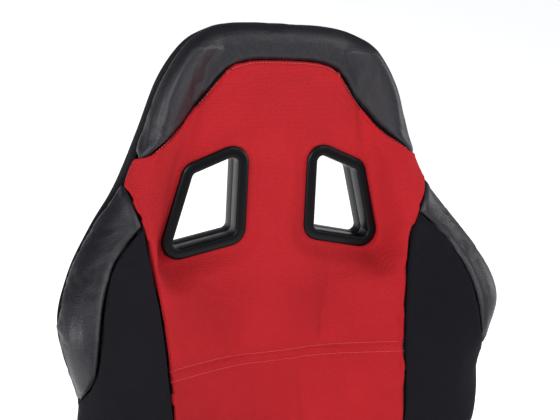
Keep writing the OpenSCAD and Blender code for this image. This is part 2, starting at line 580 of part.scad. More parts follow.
// ---------- slide handle ----------
handle_x = 140;
handle_y = -40;
handle_z = 31;
handle_front = -288;
latch_x = rail_x - member_w / 2 - 1;    // the latch plate stays clear of the side member
bar_r = 5;
module slide_handle_bar() {
    color(STEEL) translate([0, handle_front, handle_z + 6]) along_x(-handle_x - 3, handle_x + 3, bar_r);
}
module slide_handle_grip() {
    color(PLASTIC) translate([0, handle_front, handle_z + 6]) difference() {
        along_x(-75, 75, bar_r + 5);
        along_x(-76, 76, bar_r);
    }
}
module slide_handle_arm(side) {
    color(STEEL) mirror([side > 0 ? 0 : 1, 0, 0]) {
        difference() {
            plate(handle_x - 3, 6) union() {
                translate([handle_y, handle_z]) circle(r = 8, $fn = 40);
                polygon([[handle_y, handle_z - 6], [handle_y, handle_z + 6], [handle_front, handle_z + 13],
                    [handle_front, handle_z - 1]]);
                translate([handle_front, handle_z + 6]) circle(r = 8, $fn = 40);
            }
            translate([0, handle_y, handle_z]) along_x(handle_x - 10, handle_x + 10, 4 + shaft_play);
            translate([0, handle_front, handle_z + 6]) along_x(handle_x - 10, handle_x + 10, bar_r);
        }
        // latch plate, with its teeth just clear of the lower rail's notches
        translate([handle_x + 3 - eps, -132, lower_h + 2]) cube([latch_x - handle_x - 3 + eps, 44, 3]);
        for (k = [0:3]) translate([latch_x - 2.5, -12 * notch_pitch - 1.75 + k * notch_pitch, lower_h + play])
            cube([2.5, 3.5, 2]);
    }
}

// ---------- backrest ----------
function face(x, z, w) = [x, -w, z];
function back_grid(lo, hi, z0, z1, m, n, drop) = [for (i = [0:m]) let (z = mix(z0, z1, i / m))
    [for (j = [0:n]) let (x = mix(lo(z), hi(z), j / n)) face(x, z, front_w(x, z) - drop)]];
module back_sheet(lo, hi, z0, z1, m, n) {
    backrest() sheet(back_grid(lo, hi, z0, z1, m, n, 0), back_grid(lo, hi, z0, z1, m, n, cover_t));
}
slot_keys = [[slot_inner, slot_top_z], [slot_inner + 57, slot_top_z - 23],
    [slot_inner + 84, slot_top_z - slot_h - 17], [slot_inner + 1, slot_top_z - slot_h]];
module slot_shape(grow, r) { offset(r = r, $fn = 32) offset(delta = grow - r) polygon(slot_keys); }
// prism through the backrest in the shape of a slot
module slot_cut(grow) {
    rotate([90, 0, 0]) linear_extrude(200, center = true) slot_shape(grow, 10);
}
module both_slots(grow) { both() slot_cut(grow); }
module back_centre() {
    color(RED) difference() {
        union() {
            back_sheet(function (z) -red_half(z) + seam_gap, function (z) red_half(z) - seam_gap,
                back_z0, head_top - 46 - seam_gap, 40, 16);
        }
        backrest() both_slots(bezel_wall + 0.5);
    }
}
module back_bolster(side) {
    color(FABRIC) mirror([side > 0 ? 0 : 1, 0, 0]) back_sheet(function (z) red_half(z) + seam_gap,
        function (z) max(red_half(z) + 1.5, leather_half(z) - (z < seam_z ? 1.5 : seam_gap + 0.4)),
        back_z0, shoulder_z + 100, 30, 5);
}
module shoulder_roll(side) {
    color(LEATHER) mirror([side > 0 ? 0 : 1, 0, 0]) back_sheet(
        function (z) (z > shoulder_z + 102 ? red_half(z) : leather_half(z)) + seam_gap,
        function (z) half_width(z) - 0.8,
        seam_z + 3, neck_z - 4, 16, 6);
}
head_inner = concat([for (z = [neck_z + 29, neck_z + 38, neck_z + 47, neck_z + 62, neck_z + 76,
        mix(neck_z + 76, head_top - 49, 0.25), mix(neck_z + 76, head_top - 49, 0.5),
        mix(neck_z + 76, head_top - 49, 0.75), head_top - 49]) [curve(red_head_keys, z), z + 2.2]],
    [[40, head_top - 45.4 + seam_gap], [0, head_top - 45 + seam_gap]]);
head_outer = concat([for (t = [0, 0.16, 0.3, 0.46, 0.6, 0.74, 0.87]) let (z = mix(neck_z + 29, head_z + 14, t)) [half_width(z) - 0.8, z]],
    [[head_w / 2 - 28.6, head_top - 30], [head_w / 2 - 57.4, head_top - 11], [head_w / 2 - 92, head_top - 3], [0, head_top - 1]]);
module head_roll() {
    inner = concat([for (p = head_inner) [-p[0], p[1]]], [for (i = [len(head_inner) - 2:-1:0]) head_inner[i]]);
    outer = concat([for (p = head_outer) [-p[0], p[1]]], [for (i = [len(head_outer) - 2:-1:0]) head_outer[i]]);
    fine_in = spline2(inner, 2);
    fine_out = spline2(outer, 2);
    function grid(drop) = [for (i = [0:len(fine_in) - 1]) [for (j = [0:6])
        let (p = mix(fine_out[i], fine_in[i], (j / 6) ^ 1.5)) face(p[0], p[1], front_w(p[0], p[1]) - drop)]];
    color(LEATHER) backrest() sheet(grid(0), grid(cover_t));
}
full_line = concat(outline, [for (i = [len(outline) - 2:-1:0]) [-outline[i][0], outline[i][1]]]);
function line_in(i) = let (t = tangent(full_line, i)) [-t[1], t[0]] / norm(t);
module back_side_band() {
    function edge(i) = let (p = full_line[i]) base_w(p[0], p[1]) - curve(edge_keys, p[1]) - cover_t - 0.5;
    function rear_edge(i) = curve(rear_edge_keys, full_line[i][1]);
    function at(i, inset, w) = let (q = full_line[i] + inset * line_in(i)) face(q[0], q[1], w);
    outer = [for (i = [0:len(full_line) - 1]) [at(i, 0, edge(i)),
        at(i, curve(taper_keys, full_line[i][1]), rear_edge(i))]];
    inner = [for (i = [0:len(full_line) - 1]) [at(i, cover_t, edge(i)),
        at(i, curve(taper_keys, full_line[i][1]) + cover_t, rear_edge(i))]];
    color(FABRIC) difference() {
        backrest() sheet(outer, inner);
        backrest() translate([0, tube_y, cross_hi]) along_x(-400, 400, tube_r + 0.5);
    }
}
function lean_out(z) = z > head_z ? 1 : norm([1, (half_width(z + 4) - half_width(z - 4)) / 8]);
function rear_half(z) =
    half_width(z + (z > head_z ? 9 : 0)) - lean_out(z) * (curve(taper_keys, z) + cover_t + 3.2);
module back_rear_panel() {
    function grid(lift) = [for (i = [0:24]) let (z = mix(back_z0 + 1, head_top - 9, i / 24))
        [for (j = [-8:8]) let (x = j / 8 * rear_half(z)) face(x, z, rear_w(x, z) + lift)]];
    color(FABRIC) difference() {
        backrest() sheet(grid(cover_t), grid(0));
        backrest() both_slots(bezel_wall + 0.5);
    }
}
tube_y = 20;                            // the frame's plane behind the bezels' front plane
frame_half = 158;
cross_lo = 8;
cross_hi = 150;
frame_keys = [[frame_half, cross_lo], [frame_half, 200], [frame_half, 400], [frame_half, shoulder_z + 97],
    [neck_w / 2 - 42, neck_z + 28], [head_w / 2 - 24, head_z - 22], [head_w / 2 - 62, head_top - 48],
    [0, head_top - 36]];
module frame_line_wire(grow, solid) {
    half = spline2(frame_keys, 4);
    line = concat([for (p = half) [-p[0], tube_y, p[1]]],
        [for (i = [len(half) - 2:-1:0]) [half[i][0], tube_y, half[i][1]]]);
    if (solid) wire(line, tube_r + grow, [0, 1, 0], 10);
    else pipe(line, tube_r, tube_wall, [0, 1, 0], 12);
}
module back_frame() { color(STEEL) backrest() frame_line_wire(0, false); }
module back_cross_tubes() {
    color(STEEL) backrest() {
        for (s = [-1, 1]) mirror([s > 0 ? 0 : 1, 0, 0]) translate([0, tube_y, cross_lo]) difference() {
            along_x(frame_half + tube_r + 0.2, bracket_x, tube_r);
            along_x(0, 400, tube_r - tube_wall);
        }
        translate([0, tube_y, cross_lo]) difference() {
            along_x(-frame_half + tube_r + 0.2, frame_half - tube_r - 0.2, tube_r);
            along_x(-400, 400, tube_r - tube_wall);
        }
        for (s = [-1, 1]) mirror([s > 0 ? 0 : 1, 0, 0]) translate([0, tube_y, cross_hi]) difference() {
            along_x(frame_half + tube_r + 0.2, bracket_x, tube_r);
            along_x(frame_half, 400, bolt_r);
        }
        translate([0, tube_y, cross_hi]) difference() {
            along_x(-frame_half + tube_r + 0.2, frame_half - tube_r - 0.2, tube_r);
            along_x(-400, 400, tube_r - tube_wall);
        }
    }
}
module back_springs() {
    color(ZINC) backrest() for (z = [215, 285, 355, 425])
        wire([for (i = [0:28]) [mix(-frame_half + tube_r + spring_r, frame_half - tube_r - spring_r, i / 28),
            tube_y, z + 17 * cos(i * 90)]], spring_r, [0, 1, 0]);
}
module back_bracket(side) {
    color(STEEL) backrest() mirror([side > 0 ? 0 : 1, 0, 0]) difference() {
        union() {
            plate(bracket_x, plate_t) union() {
                circle(r = disc_r, $fn = 64);
                polygon([[-disc_r, 0], [-14, cross_hi + 16], [tube_y + 14, cross_hi + 16],
                    [tube_y + 14, cross_hi - 30], [pin_y - pin_r - 0.4, 104], [pin_y - pin_r - 0.4, 58],
                    [disc_r - 3, 10]]);
            }
            translate([0, lever_y, lever_z]) along_x(bracket_x - 6.5, bracket_x + eps, 4);
        }
        along_x(0, 400, bush_r + shaft_play);
        translate([0, tube_y, cross_hi]) along_x(0, 400, bolt_r + 0.25);
    }
}
module bracket_bolts() {
    color(ZINC) backrest() both() translate([0, tube_y, cross_hi]) {
        translate([bracket_x + plate_t, 0, 0]) rotate([0, 90, 0]) hex_head(13, 3.5);
        along_x(bracket_x - 20, bracket_x + plate_t + eps, bolt_r - 0.02);
    }
}
lever_y = -4;
lever_z = 122;
lever_x = bracket_x - 5;
module fold_lever(side) {
    color(ZINC) backrest() mirror([side > 0 ? 0 : 1, 0, 0]) difference() {
        plate(lever_x, 4) union() {
            translate([lever_y, lever_z]) circle(r = 9, $fn = 40);
            polygon([[lever_y - 3, lever_z - 8], [14, 100], [26, 95], [44, 98], [60, 118], [58, 128], [40, 110],
                [24, 108], [lever_y + 2, lever_z + 8.5]]);
        }
        translate([0, lever_y, lever_z]) along_x(0, 400, 4 + shaft_play);
    }
}
module fold_grip(side) {
    color(PLASTIC) backrest() mirror([side > 0 ? 0 : 1, 0, 0])
        translate([lever_x - 3, 61, 112]) rotate([-38, 0, 0]) difference() {
            cube([26, 44, 9]);
            translate([-1, 36, -1]) cube([30, 20, 3]);
        }
}
module back_foam() {
    inset = cover_t + foam_gap;
    // the lowest of the cover's surface close by, so steep places stay clear too
    function foam_w(x, z) = min([for (d = [[-17, 0], [17, 0], [0, -18], [0, 18], [0, 0]])
        front_w(x + d[0], z + d[1])]) - inset;
    rows = [for (i = [0:30]) mix(back_z0 + 6, head_top - 14, i / 30)];
    function half(z) = rear_half(z) - foam_gap - 2;
    color(FOAM) difference() {
        backrest() sheet(
            [for (z = rows) [for (j = [-9:9]) let (x = half(z) * sin(j * 10)) face(x, z, foam_w(x, z))]],
            [for (z = rows) [for (j = [-9:9]) let (x = half(z) * sin(j * 10)) face(x, z, rear_w(x, z) + inset + 2.5)]]);
        backrest() both_slots(bezel_wall + 1);
        // pocket for the frame's lower part, the springs and the cross tubes
        backrest() translate([-frame_half - tube_r - 1, tube_y - tube_r - 1.5, 0])
            cube([2 * (frame_half + tube_r + 1), 60, shoulder_z + 40]);
        backrest() translate([0, tube_y, cross_hi]) along_x(-400, 400, tube_r + 1);
        backrest() frame_line_wire(1, true);
    }
}
module bezel(front) {
    rotate([90, 0, 0]) {
        // flange
        translate([0, 0, front ? 0.8 : -rear_depth - 4]) linear_extrude(3.2) difference() {
            slot_shape(bezel_flange, 22);
            slot_shape(0, 8);
        }
        // tube
        translate([0, 0, front ? -rear_depth / 2 + 0.5 : -rear_depth - 2]) linear_extrude(front ? rear_depth / 2 + 1 : rear_depth / 2 + 1.5)
            difference() {
                slot_shape(bezel_wall, 8 + bezel_wall);
                slot_shape(0, 8);
            }
    }
}
module slot_bezels(front) { color(PLASTIC) backrest() both() bezel(front); }

lower_rail(-1);  // lower_rail_left
lower_rail(1);  // lower_rail_right
roller_cages();
rail_rollers();
upper_rail(-1);  // upper_rail_left
upper_rail(1);  // upper_rail_right
glide_pads();
slide_stop_pins();
rail_bolts();
side_member(-1);  // side_member_left
side_member(1);  // side_member_right
cross_tube(front_tube_y);  // front_cross_tube
cross_tube(rear_tube_y);  // rear_cross_tube
base_springs();
hinge_plate(-1);  // hinge_plate_left
hinge_plate(1);  // hinge_plate_right
hinge_bolts();
recliner_housing(-1);  // recliner_housing_left
recliner_housing(1);  // recliner_housing_right
side_cover(-1);  // side_cover_left
side_cover(1);  // side_cover_right
side_cover_screws();
cushion_foam();
cushion_centre();
cushion_bolster(-1);  // cushion_bolster_left
cushion_bolster(1);  // cushion_bolster_right
cushion_roll(-1);  // cushion_roll_left
cushion_roll(1);  // cushion_roll_right
cushion_front();
cushion_skirt();
slide_handle_bar();
slide_handle_arm(-1);  // slide_handle_arm_left
slide_handle_arm(1);  // slide_handle_arm_right
slide_handle_grip();
drive_shaft();
hand_wheel(-1);  // hand_wheel_left
hand_wheel(1);  // hand_wheel_right
recliner_arm(-1);  // recliner_arm_left
recliner_arm(1);  // recliner_arm_right
fold_lever(-1);  // fold_lever_left
fold_lever(1);  // fold_lever_right
fold_grip(-1);  // fold_grip_left
fold_grip(1);  // fold_grip_right
back_frame();
back_cross_tubes();
back_springs();
back_bracket(-1);  // back_bracket_left
back_bracket(1);  // back_bracket_right
bracket_bolts();
back_foam();
back_centre();
back_bolster(-1);  // back_bolster_left
back_bolster(1);  // back_bolster_right
shoulder_roll(-1);  // shoulder_roll_left
shoulder_roll(1);  // shoulder_roll_right
head_roll();
back_side_band();
back_rear_panel();
slot_bezels(true);  // slot_bezels_front
slot_bezels(false);  // slot_bezels_rear
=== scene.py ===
# %% [markdown]
# # A reclining racing seat
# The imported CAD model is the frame: rails, hinges, springs and brackets keep their exact places.
# Around it this lesson sews the cover, moulds the plastic and gives every surface its finish.

# %% Load the frame
import json
import math

import bmesh
import bpy
import numpy as np
from mathutils import Matrix, Vector

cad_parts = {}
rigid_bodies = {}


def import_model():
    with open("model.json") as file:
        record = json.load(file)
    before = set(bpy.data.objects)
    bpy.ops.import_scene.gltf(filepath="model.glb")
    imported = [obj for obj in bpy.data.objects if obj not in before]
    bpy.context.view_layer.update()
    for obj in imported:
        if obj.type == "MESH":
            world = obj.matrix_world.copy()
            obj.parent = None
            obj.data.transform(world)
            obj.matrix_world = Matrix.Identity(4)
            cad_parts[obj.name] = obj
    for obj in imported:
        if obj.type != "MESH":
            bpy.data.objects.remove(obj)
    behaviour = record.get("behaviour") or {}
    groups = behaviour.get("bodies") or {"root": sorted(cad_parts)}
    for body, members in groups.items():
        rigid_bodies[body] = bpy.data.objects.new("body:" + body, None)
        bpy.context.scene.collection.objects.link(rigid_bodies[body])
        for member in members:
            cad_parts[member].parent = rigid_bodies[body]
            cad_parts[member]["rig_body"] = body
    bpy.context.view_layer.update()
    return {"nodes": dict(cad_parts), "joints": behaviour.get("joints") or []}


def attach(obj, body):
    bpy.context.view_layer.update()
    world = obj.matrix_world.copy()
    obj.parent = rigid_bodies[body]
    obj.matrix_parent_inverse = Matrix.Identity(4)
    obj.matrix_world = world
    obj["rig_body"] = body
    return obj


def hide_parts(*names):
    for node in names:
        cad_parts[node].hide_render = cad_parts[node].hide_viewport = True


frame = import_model()
joints = {joint["name"]: joint for joint in frame["joints"]}

# %% [markdown]
# The backrest leans back about its pivot, and its pieces are easiest to describe in its own plane:
# x across, z up along the back, and w forward out of it, all in millimetres.
# One function turns such points into the scene's metres, so the lean is written only once.

# %% The backrest's own plane
PIVOT = np.array(joints["recline"]["pos_m"]) * 1000
LEAN = math.radians(14)
MM = 0.001


def on_back(x, z, w):
    """Points of the leaning backrest, from millimetres in its own plane to metres in the scene."""
    x, z, w = np.broadcast_arrays(*(np.asarray(v, float) for v in (x, z, w)))
    c, s = math.cos(LEAN), math.sin(LEAN)
    return np.stack([x, PIVOT[1] - w * c + z * s, PIVOT[2] + w * s + z * c], axis=-1) * MM


# %% [markdown]
# ## Camera and light
# The camera stands close to the left shoulder wing and looks slightly down at the slots.
# Its place is given in the backrest's plane too, with a 50 mm lens on a 36 mm sensor.
# A pale floor, a dim even sky and four soft lamps make the light of a studio.

# %% Camera
YAW, PITCH, ROLL = math.radians(-23.74), math.radians(-13.51), math.radians(2.99)


def aim():
    """The camera's turn in the scene, from its yaw, pitch and roll against the backrest."""
    local = (Matrix.Rotation(YAW, 3, "Y") @ Matrix.Rotation(PITCH, 3, "X") @ Matrix.Rotation(ROLL, 3, "Z"))
    c, s = math.cos(LEAN), math.sin(LEAN)
    back_axes = Matrix(((1, 0, 0), (0, s, -c), (0, c, s)))
    return (back_axes @ local).to_4x4()


lens = bpy.data.cameras.new("camera")
lens.lens = 50.0
lens.sensor_width = 36.0
lens.clip_start = 0.01
lens.clip_end = 60.0
camera = bpy.data.objects.new("camera", lens)
bpy.context.collection.objects.link(camera)
camera.matrix_world = Matrix.Translation(Vector(on_back(-379.3, 794.0, 876.0))) @ aim()
bpy.context.scene.camera = camera
print("camera at", [round(v, 3) for v in camera.matrix_world.translation])

# %% Studio
SKY, SKY_STRENGTH = (0.89, 0.93, 1.0, 1.0), 0.17


def soft_lamp(name, place, target, size, watts, tint=(1, 1, 1)):
    """A square area lamp that points at a target."""
    lamp = bpy.data.lights.new(name, "AREA")
    lamp.shape = "SQUARE"
    lamp.size, lamp.energy, lamp.color = size, watts, tint
    ob = bpy.data.objects.new(name, lamp)
    bpy.context.collection.objects.link(ob)
    ob.location = place
    ob.rotation_euler = (Vector(target) - Vector(place)).to_track_quat("-Z", "Y").to_euler()
    return ob


soft_lamp("key_lamp", (1.3, -1.3, 3.0), (0.0, 0.3, 0.75), 1.4, 23.0)
soft_lamp("left_lamp", (-1.1, -1.45, 1.95), (0.0, 0.25, 0.8), 0.8, 32.0, (0.96, 0.95, 1.0))
soft_lamp("right_lamp", (2.1, -0.25, 1.4), (0.05, 0.35, 0.9), 1.3, 30.0, (0.97, 0.96, 1.0))
soft_lamp("side_lamp", (-2.2, -0.6, 1.3), (-0.1, 0.25, 0.7), 0.9, 30.0, (0.96, 0.95, 1.0))
world = bpy.data.worlds.new("studio")
bpy.context.scene.world = world
world.use_nodes = True
world.node_tree.nodes["Background"].inputs["Color"].default_value = SKY
world.node_tree.nodes["Background"].inputs["Strength"].default_value = SKY_STRENGTH
bpy.context.scene.view_settings.view_transform = "Standard"

# %% [markdown]
# ## Shader maths
# A wrapped socket lets the weave and the grain be written as ordinary expressions.
# `Wire` overloads the operators, and `Tree.add` makes any other node from its type, settings and sockets.

# %% Sockets that calculate


class Wire:
    """An output socket that Python's operators work on."""

    def __init__(self, tree, socket):
        self.tree, self.socket = tree, socket

    def maths(self, operation, other=None, swap=False):
        pair = [self] if other is None else ([other, self] if swap else [self, other])
        return self.tree.add("ShaderNodeMath", {"operation": operation}, dict(enumerate(pair)))

    def __add__(self, other):
        return self.maths("ADD", other)

    def __sub__(self, other):
        return self.maths("SUBTRACT", other)

    def __rsub__(self, other):
        return self.maths("SUBTRACT", other, True)

    def __mul__(self, other):
        return self.maths("MULTIPLY", other)

    def __truediv__(self, other):
        return self.maths("DIVIDE", other)

    __radd__ = __add__
    __rmul__ = __mul__


class Tree:
    """A node tree that is filled one node at a time."""

    def __init__(self, tree):
        self.tree = tree

    def add(self, kind, settings=None, inputs=None, output=0):
        node = self.tree.nodes.new(kind)
        for key, value in (settings or {}).items():
            if key == "stops":
                self.fill_ramp(node.color_ramp, value)
            else:
                setattr(node, key, value)
        for key, value in (inputs or {}).items():
            if isinstance(value, Wire):
                self.tree.links.new(value.socket, node.inputs[key])
            else:
                node.inputs[key].default_value = value
        return Wire(self, node.outputs[output])

    @staticmethod
    def fill_ramp(ramp, stops):
        while len(ramp.elements) < len(stops):
            ramp.elements.new(1.0)
        for element, (place, colour) in zip(ramp.elements, stops):
            element.position, element.color = place, (*colour, 1.0)

    def blend(self, factor, a, b):
        """A colour between a and b."""
        colours = [c if isinstance(c, Wire) else (*c, 1.0) for c in (a, b)]
        return self.add("ShaderNodeMix", {"data_type": "RGBA"}, {0: factor, 6: colours[0], 7: colours[1]}, 2)

    def noise(self, vector, scale, detail=2.0, roughness=0.5):
        return self.add("ShaderNodeTexNoise", {}, {"Vector": vector, "Scale": scale, "Detail": detail,
                                                   "Roughness": roughness})

    def bump(self, height, distance, strength=1.0, under=None):
        inputs = {"Height": height, "Distance": distance, "Strength": strength}
        if under is not None:
            inputs["Normal"] = under
        return self.add("ShaderNodeBump", {}, inputs)


class Finish(Tree):
    """A material: constants go on the shader's own sockets, and wires on those that vary."""

    def __init__(self, name, **constants):
        self.material = bpy.data.materials.new(name)
        self.material.use_nodes = True
        super().__init__(self.material.node_tree)
        self.shader = self.tree.nodes["Principled BSDF"]
        for key, value in constants.items():
            self.shader.inputs[key.replace("_", " ")].default_value = value

    def feed(self, **wires):
        for key, wire in wires.items():
            self.tree.links.new(wire.socket, self.shader.inputs[key.replace("_", " ")])
        return self.material

    def place(self, turn=(0, 0, 0), scale=(1, 1, 1)):
        """Object coordinates, turned and scaled."""
        spot = self.add("ShaderNodeTexCoord", {}, {}, 3)
        return self.add("ShaderNodeMapping", {}, {"Vector": spot, "Rotation": turn, "Scale": scale})

    def parts(self, vector):
        node = self.tree.nodes.new("ShaderNodeSeparateXYZ")
        self.tree.links.new(vector.socket, node.inputs[0])
        return [Wire(self, node.outputs[i]) for i in range(3)]


# %% [markdown]
# ## Finishes
# The seat fabric is a fine flat weave: short horizontal threads laid like bricks, with a little fluff. Its
# colour is also painted darker between the threads and lighter on their tops, as painted shade and painted
# highlight.
# One recipe makes both the red and the black cloth. It reads Object coordinates turned by the
# backrest's lean, so that the rows of thread run level across the back, and up the cushion too.

# %% Woven cloth
THREAD = 1.6 * MM
STITCH_RUN = 3.2 * MM
BACK_TURN = (LEAN, 0, 0)
FLAT_TURN = (math.radians(90), 0, 0)


def woven(name, dark, mid, light, turn, sheen, roughness=0.92):
    cloth = Finish(name, Roughness=roughness, Sheen_Weight=sheen, Sheen_Roughness=0.45,
                   Specular_IOR_Level=0.15)
    cloth.shader.inputs["Sheen Tint"].default_value = (*light, 1.0)
    spot = cloth.place(turn)
    x, _, z = cloth.parts(spot)
    wobble = cloth.noise(spot, 320.0, 1.0)
    row_place = z / THREAD + wobble * 0.35
    row = row_place.maths("FLOOR")
    ridge = (row_place * math.pi).maths("SINE").maths("ABSOLUTE")
    brick = ((x / STITCH_RUN + row * 0.5) * (2 * math.pi)).maths("COSINE") * 0.5 + 0.5
    height = ridge * (brick * 0.5 + 0.5)
    fluff = cloth.noise(cloth.place(turn, (420, 420, 1500)), 1.0, 3.0, 0.6)
    patches = cloth.noise(spot, 9.0, 2.0)
    # Thread colour: the fluff and the slow patches are the yarn's own uneven colour, and the ridge height
    # adds painted shade in the gaps between threads and a painted highlight on their tops.
    yarn_tone_and_painted_shade = height * 0.30 + fluff * 0.55 + patches * 0.3 - 0.16
    colour = cloth.add("ShaderNodeValToRGB", {"stops": [(0.12, dark), (0.52, mid), (0.98, light)]},
                       {0: yarn_tone_and_painted_shade})
    fine = cloth.bump(height + fluff * 0.7, 0.0005, 0.36)
    return cloth.feed(Base_Color=colour, Normal=fine)


RED_YARN = (0.18, 0.006, 0.008), (0.42, 0.014, 0.018), (0.56, 0.030, 0.034)
BLACK_YARN = (0.003, 0.003, 0.004), (0.0062, 0.0060, 0.0085), (0.015, 0.015, 0.020)
REAR_YARN = (0.002, 0.002, 0.003), (0.0050, 0.0050, 0.0068), (0.013, 0.013, 0.016)
red_cloth = woven("red_cloth", *RED_YARN, BACK_TURN, 0.10)
red_seat_cloth = woven("red_seat_cloth", *RED_YARN, FLAT_TURN, 0.10)
black_cloth = woven("black_cloth", *BLACK_YARN, BACK_TURN, 0.04)
black_seat_cloth = woven("black_seat_cloth", *BLACK_YARN, FLAT_TURN, 0.04)
rear_cloth = woven("rear_cloth", *REAR_YARN, BACK_TURN, 0.03)

# %% [markdown]
# Leatherette is a soft plastic skin printed with a grain: rounded cells about a millimetre across,
# with finer pores between. Small cells from a Voronoi texture give the relief, and slow noise
# varies how polished the skin is.

# %% Leatherette


def leatherette():
    skin = Finish("leatherette", Specular_IOR_Level=0.40, Coat_Roughness=0.30)
    skin.shader.inputs["Coat Weight"].default_value = 0.12
    spot = skin.place()
    bend = skin.noise(spot, 260.0, 2.0)
    drift = skin.add("ShaderNodeTexNoise", {}, {"Vector": spot, "Scale": 180.0}, 1)
    bent = skin.add("ShaderNodeVectorMath", {"operation": "MULTIPLY_ADD"},
                    {0: drift, 1: (0.0016,) * 3, 2: spot})
    cells = skin.add("ShaderNodeTexVoronoi", {"feature": "SMOOTH_F1"},
                     {"Vector": bent, "Scale": 780.0, "Smoothness": 0.35})
    pores = skin.noise(spot, 1900.0, 2.0)
    creases = skin.noise(spot, 55.0, 3.0, 0.55)
    polish = skin.noise(spot, 14.0, 3.0, 0.55)
    grain = (1 - cells) * 0.8 + pores * 0.25 + bend * 0.25
    colour = skin.add("ShaderNodeValToRGB", {"stops": [(0.25, (0.0020, 0.0019, 0.0034)),
                                                       (0.8, (0.0050, 0.0048, 0.0088))]},
                      {0: grain * 0.7 + polish * 0.3})
    relief = skin.bump(creases, 0.0018, 0.22)
    return skin.feed(Base_Color=colour, Roughness=polish * 0.20 + 0.33 + cells * 0.06,
                     Normal=skin.bump(grain, 0.0006, 0.75, relief))


leather = leatherette()

# %% [markdown]
# Moulded plastic has a fine eroded texture. The slot bezels are smoother, and reflect little.
# Painted steel shows a slight orange peel, and zinc plating is cloudy and directional.

# %% Plastics, metals, foam and thread


def tinted(colour, share):
    return tuple(c * share for c in colour)


def moulded(name, colour, rough, grain_scale, grain_depth, coat=0.0, gloss=0.5):
    plastic = Finish(name, Specular_IOR_Level=gloss, Coat_Roughness=0.2)
    plastic.shader.inputs["Coat Weight"].default_value = coat
    spot = plastic.place()
    clouds = plastic.noise(spot, 18.0, 3.0)
    grain = plastic.noise(spot, grain_scale, 2.0, 0.6)
    scuffs = plastic.noise(plastic.place((0.3, 0.2, 0.9), (60, 900, 60)), 1.0, 2.0)
    marks = scuffs.maths("GREATER_THAN", 0.71) * 0.05
    tone = plastic.blend(clouds * 0.6 + grain * 0.4, tinted(colour, 0.75), tinted(colour, 1.3))
    return plastic.feed(Base_Color=tone, Roughness=clouds * 0.12 + marks + (rough - 0.06),
                        Normal=plastic.bump(grain, grain_depth, 0.5))


def metal(name, dark, light, rough, metallic, peel, stretch=(1, 1, 1)):
    steel = Finish(name, Metallic=metallic)
    spot = steel.place()
    clouds = steel.noise(steel.place((0, 0, 0), stretch), 40.0, 4.0, 0.6)
    skin = steel.noise(spot, 650.0, 2.0)
    tone = steel.blend(clouds, dark, light)
    return steel.feed(Base_Color=tone, Roughness=clouds * 0.18 + (rough - 0.09),
                      Normal=steel.bump(skin, peel, 0.4))


bezel_plastic = moulded("bezel_plastic", (0.0030, 0.0030, 0.0038), 0.34, 1400.0, 0.00010, 0.0, 0.16)
cover_plastic = moulded("cover_plastic", (0.016, 0.016, 0.017), 0.48, 1500.0, 0.00022)
grip_rubber = moulded("grip_rubber", (0.011, 0.011, 0.011), 0.66, 900.0, 0.0003)
black_steel = metal("black_steel", (0.010, 0.010, 0.011), (0.020, 0.020, 0.022), 0.38, 0.0, 0.0002)
zinc_steel = metal("zinc_steel", (0.42, 0.43, 0.45), (0.68, 0.69, 0.71), 0.34, 1.0, 0.00006, (1, 6, 1))
foam_block = moulded("foam_block", (0.020, 0.020, 0.023), 0.95, 700.0, 0.0008)


def thread(name, colour):
    yarn = Finish(name, Roughness=0.62, Sheen_Weight=0.2)
    spot = yarn.place()
    twist = yarn.noise(spot, 2400.0, 1.0)
    return yarn.feed(Base_Color=yarn.blend(twist, tinted(colour, 0.6), tinted(colour, 1.25)),
                     Normal=yarn.bump(twist, 0.0003, 0.5))


red_thread = thread("red_thread", (0.60, 0.05, 0.055))
grey_thread = thread("grey_thread", (0.022, 0.022, 0.027))
floor_finish = Finish("floor_paint", Roughness=0.9, Emission_Strength=0.82)
floor_finish.shader.inputs["Emission Color"].default_value = (1.0, 1.0, 1.0, 1.0)
wash = floor_finish.noise(floor_finish.place(), 3.0, 2.0)
floor_paint = floor_finish.feed(Base_Color=floor_finish.blend(wash, (0.87, 0.87, 0.87), (0.9, 0.9, 0.9)))

# %% Floor
bpy.ops.mesh.primitive_plane_add(size=40, location=(0, 0, -0.0005))
floor = bpy.context.object
floor.name = "floor"
floor.data.materials.append(floor_paint)

# %% [markdown]
# ## The shape of the backrest
# The padded front is one height field: how far the cover stands forward of the slots' plane.
# It is written with smooth curves through a few sizes taken up the back, like a tailor's block,
# and the same outline and seams cut it into panels.

# %% Curves through a few sizes


def smooth(t):
    s = np.clip(t, 0, 1)
    return s * s * (3 - 2 * s)


def curve(keys, t):
    """A smooth curve through (position, value) pairs."""
    k, v = np.array(keys, float).T
    n = len(k)
    low, high = np.maximum(np.arange(n) - 1, 0), np.minimum(np.arange(n) + 1, n - 1)
    m = (v[high] - v[low]) / (k[high] - k[low])
    t = np.asarray(t, float)
    i = np.clip(np.searchsorted(k, t, side="right") - 1, 0, n - 2)
    h = k[i + 1] - k[i]
    s = np.clip((t - k[i]) / h, 0, 1)
    return ((2 * s**3 - 3 * s**2 + 1) * v[i] + (s**3 - 2 * s**2 + s) * h * m[i]
            + (3 * s**2 - 2 * s**3) * v[i + 1] + (s**3 - s**2) * h * m[i + 1])


def line_through(points, steps):
    """A smooth line through points, with a number of steps between two of them."""
    points = np.array(points, float)
    t = np.linspace(0, len(points) - 1, (len(points) - 1) * steps + 1)
    return np.stack([curve(np.column_stack([np.arange(len(points)), points[:, a]]), t)
                     for a in range(points.shape[1])], axis=-1)


def line_distance(x, z, line):
    """The distance of each point (x, z) from a line."""
    p = np.stack([np.ravel(x), np.ravel(z)], axis=-1)
    best = np.full(len(p), 1e9)
    for a, b in zip(line[:-1], line[1:]):
        d = b - a
        t = np.clip(((p - a) @ d) / (d @ d), 0, 1)
        best = np.minimum(best, np.hypot(*(p - a - t[:, None] * d).T))
    return best.reshape(np.shape(x))


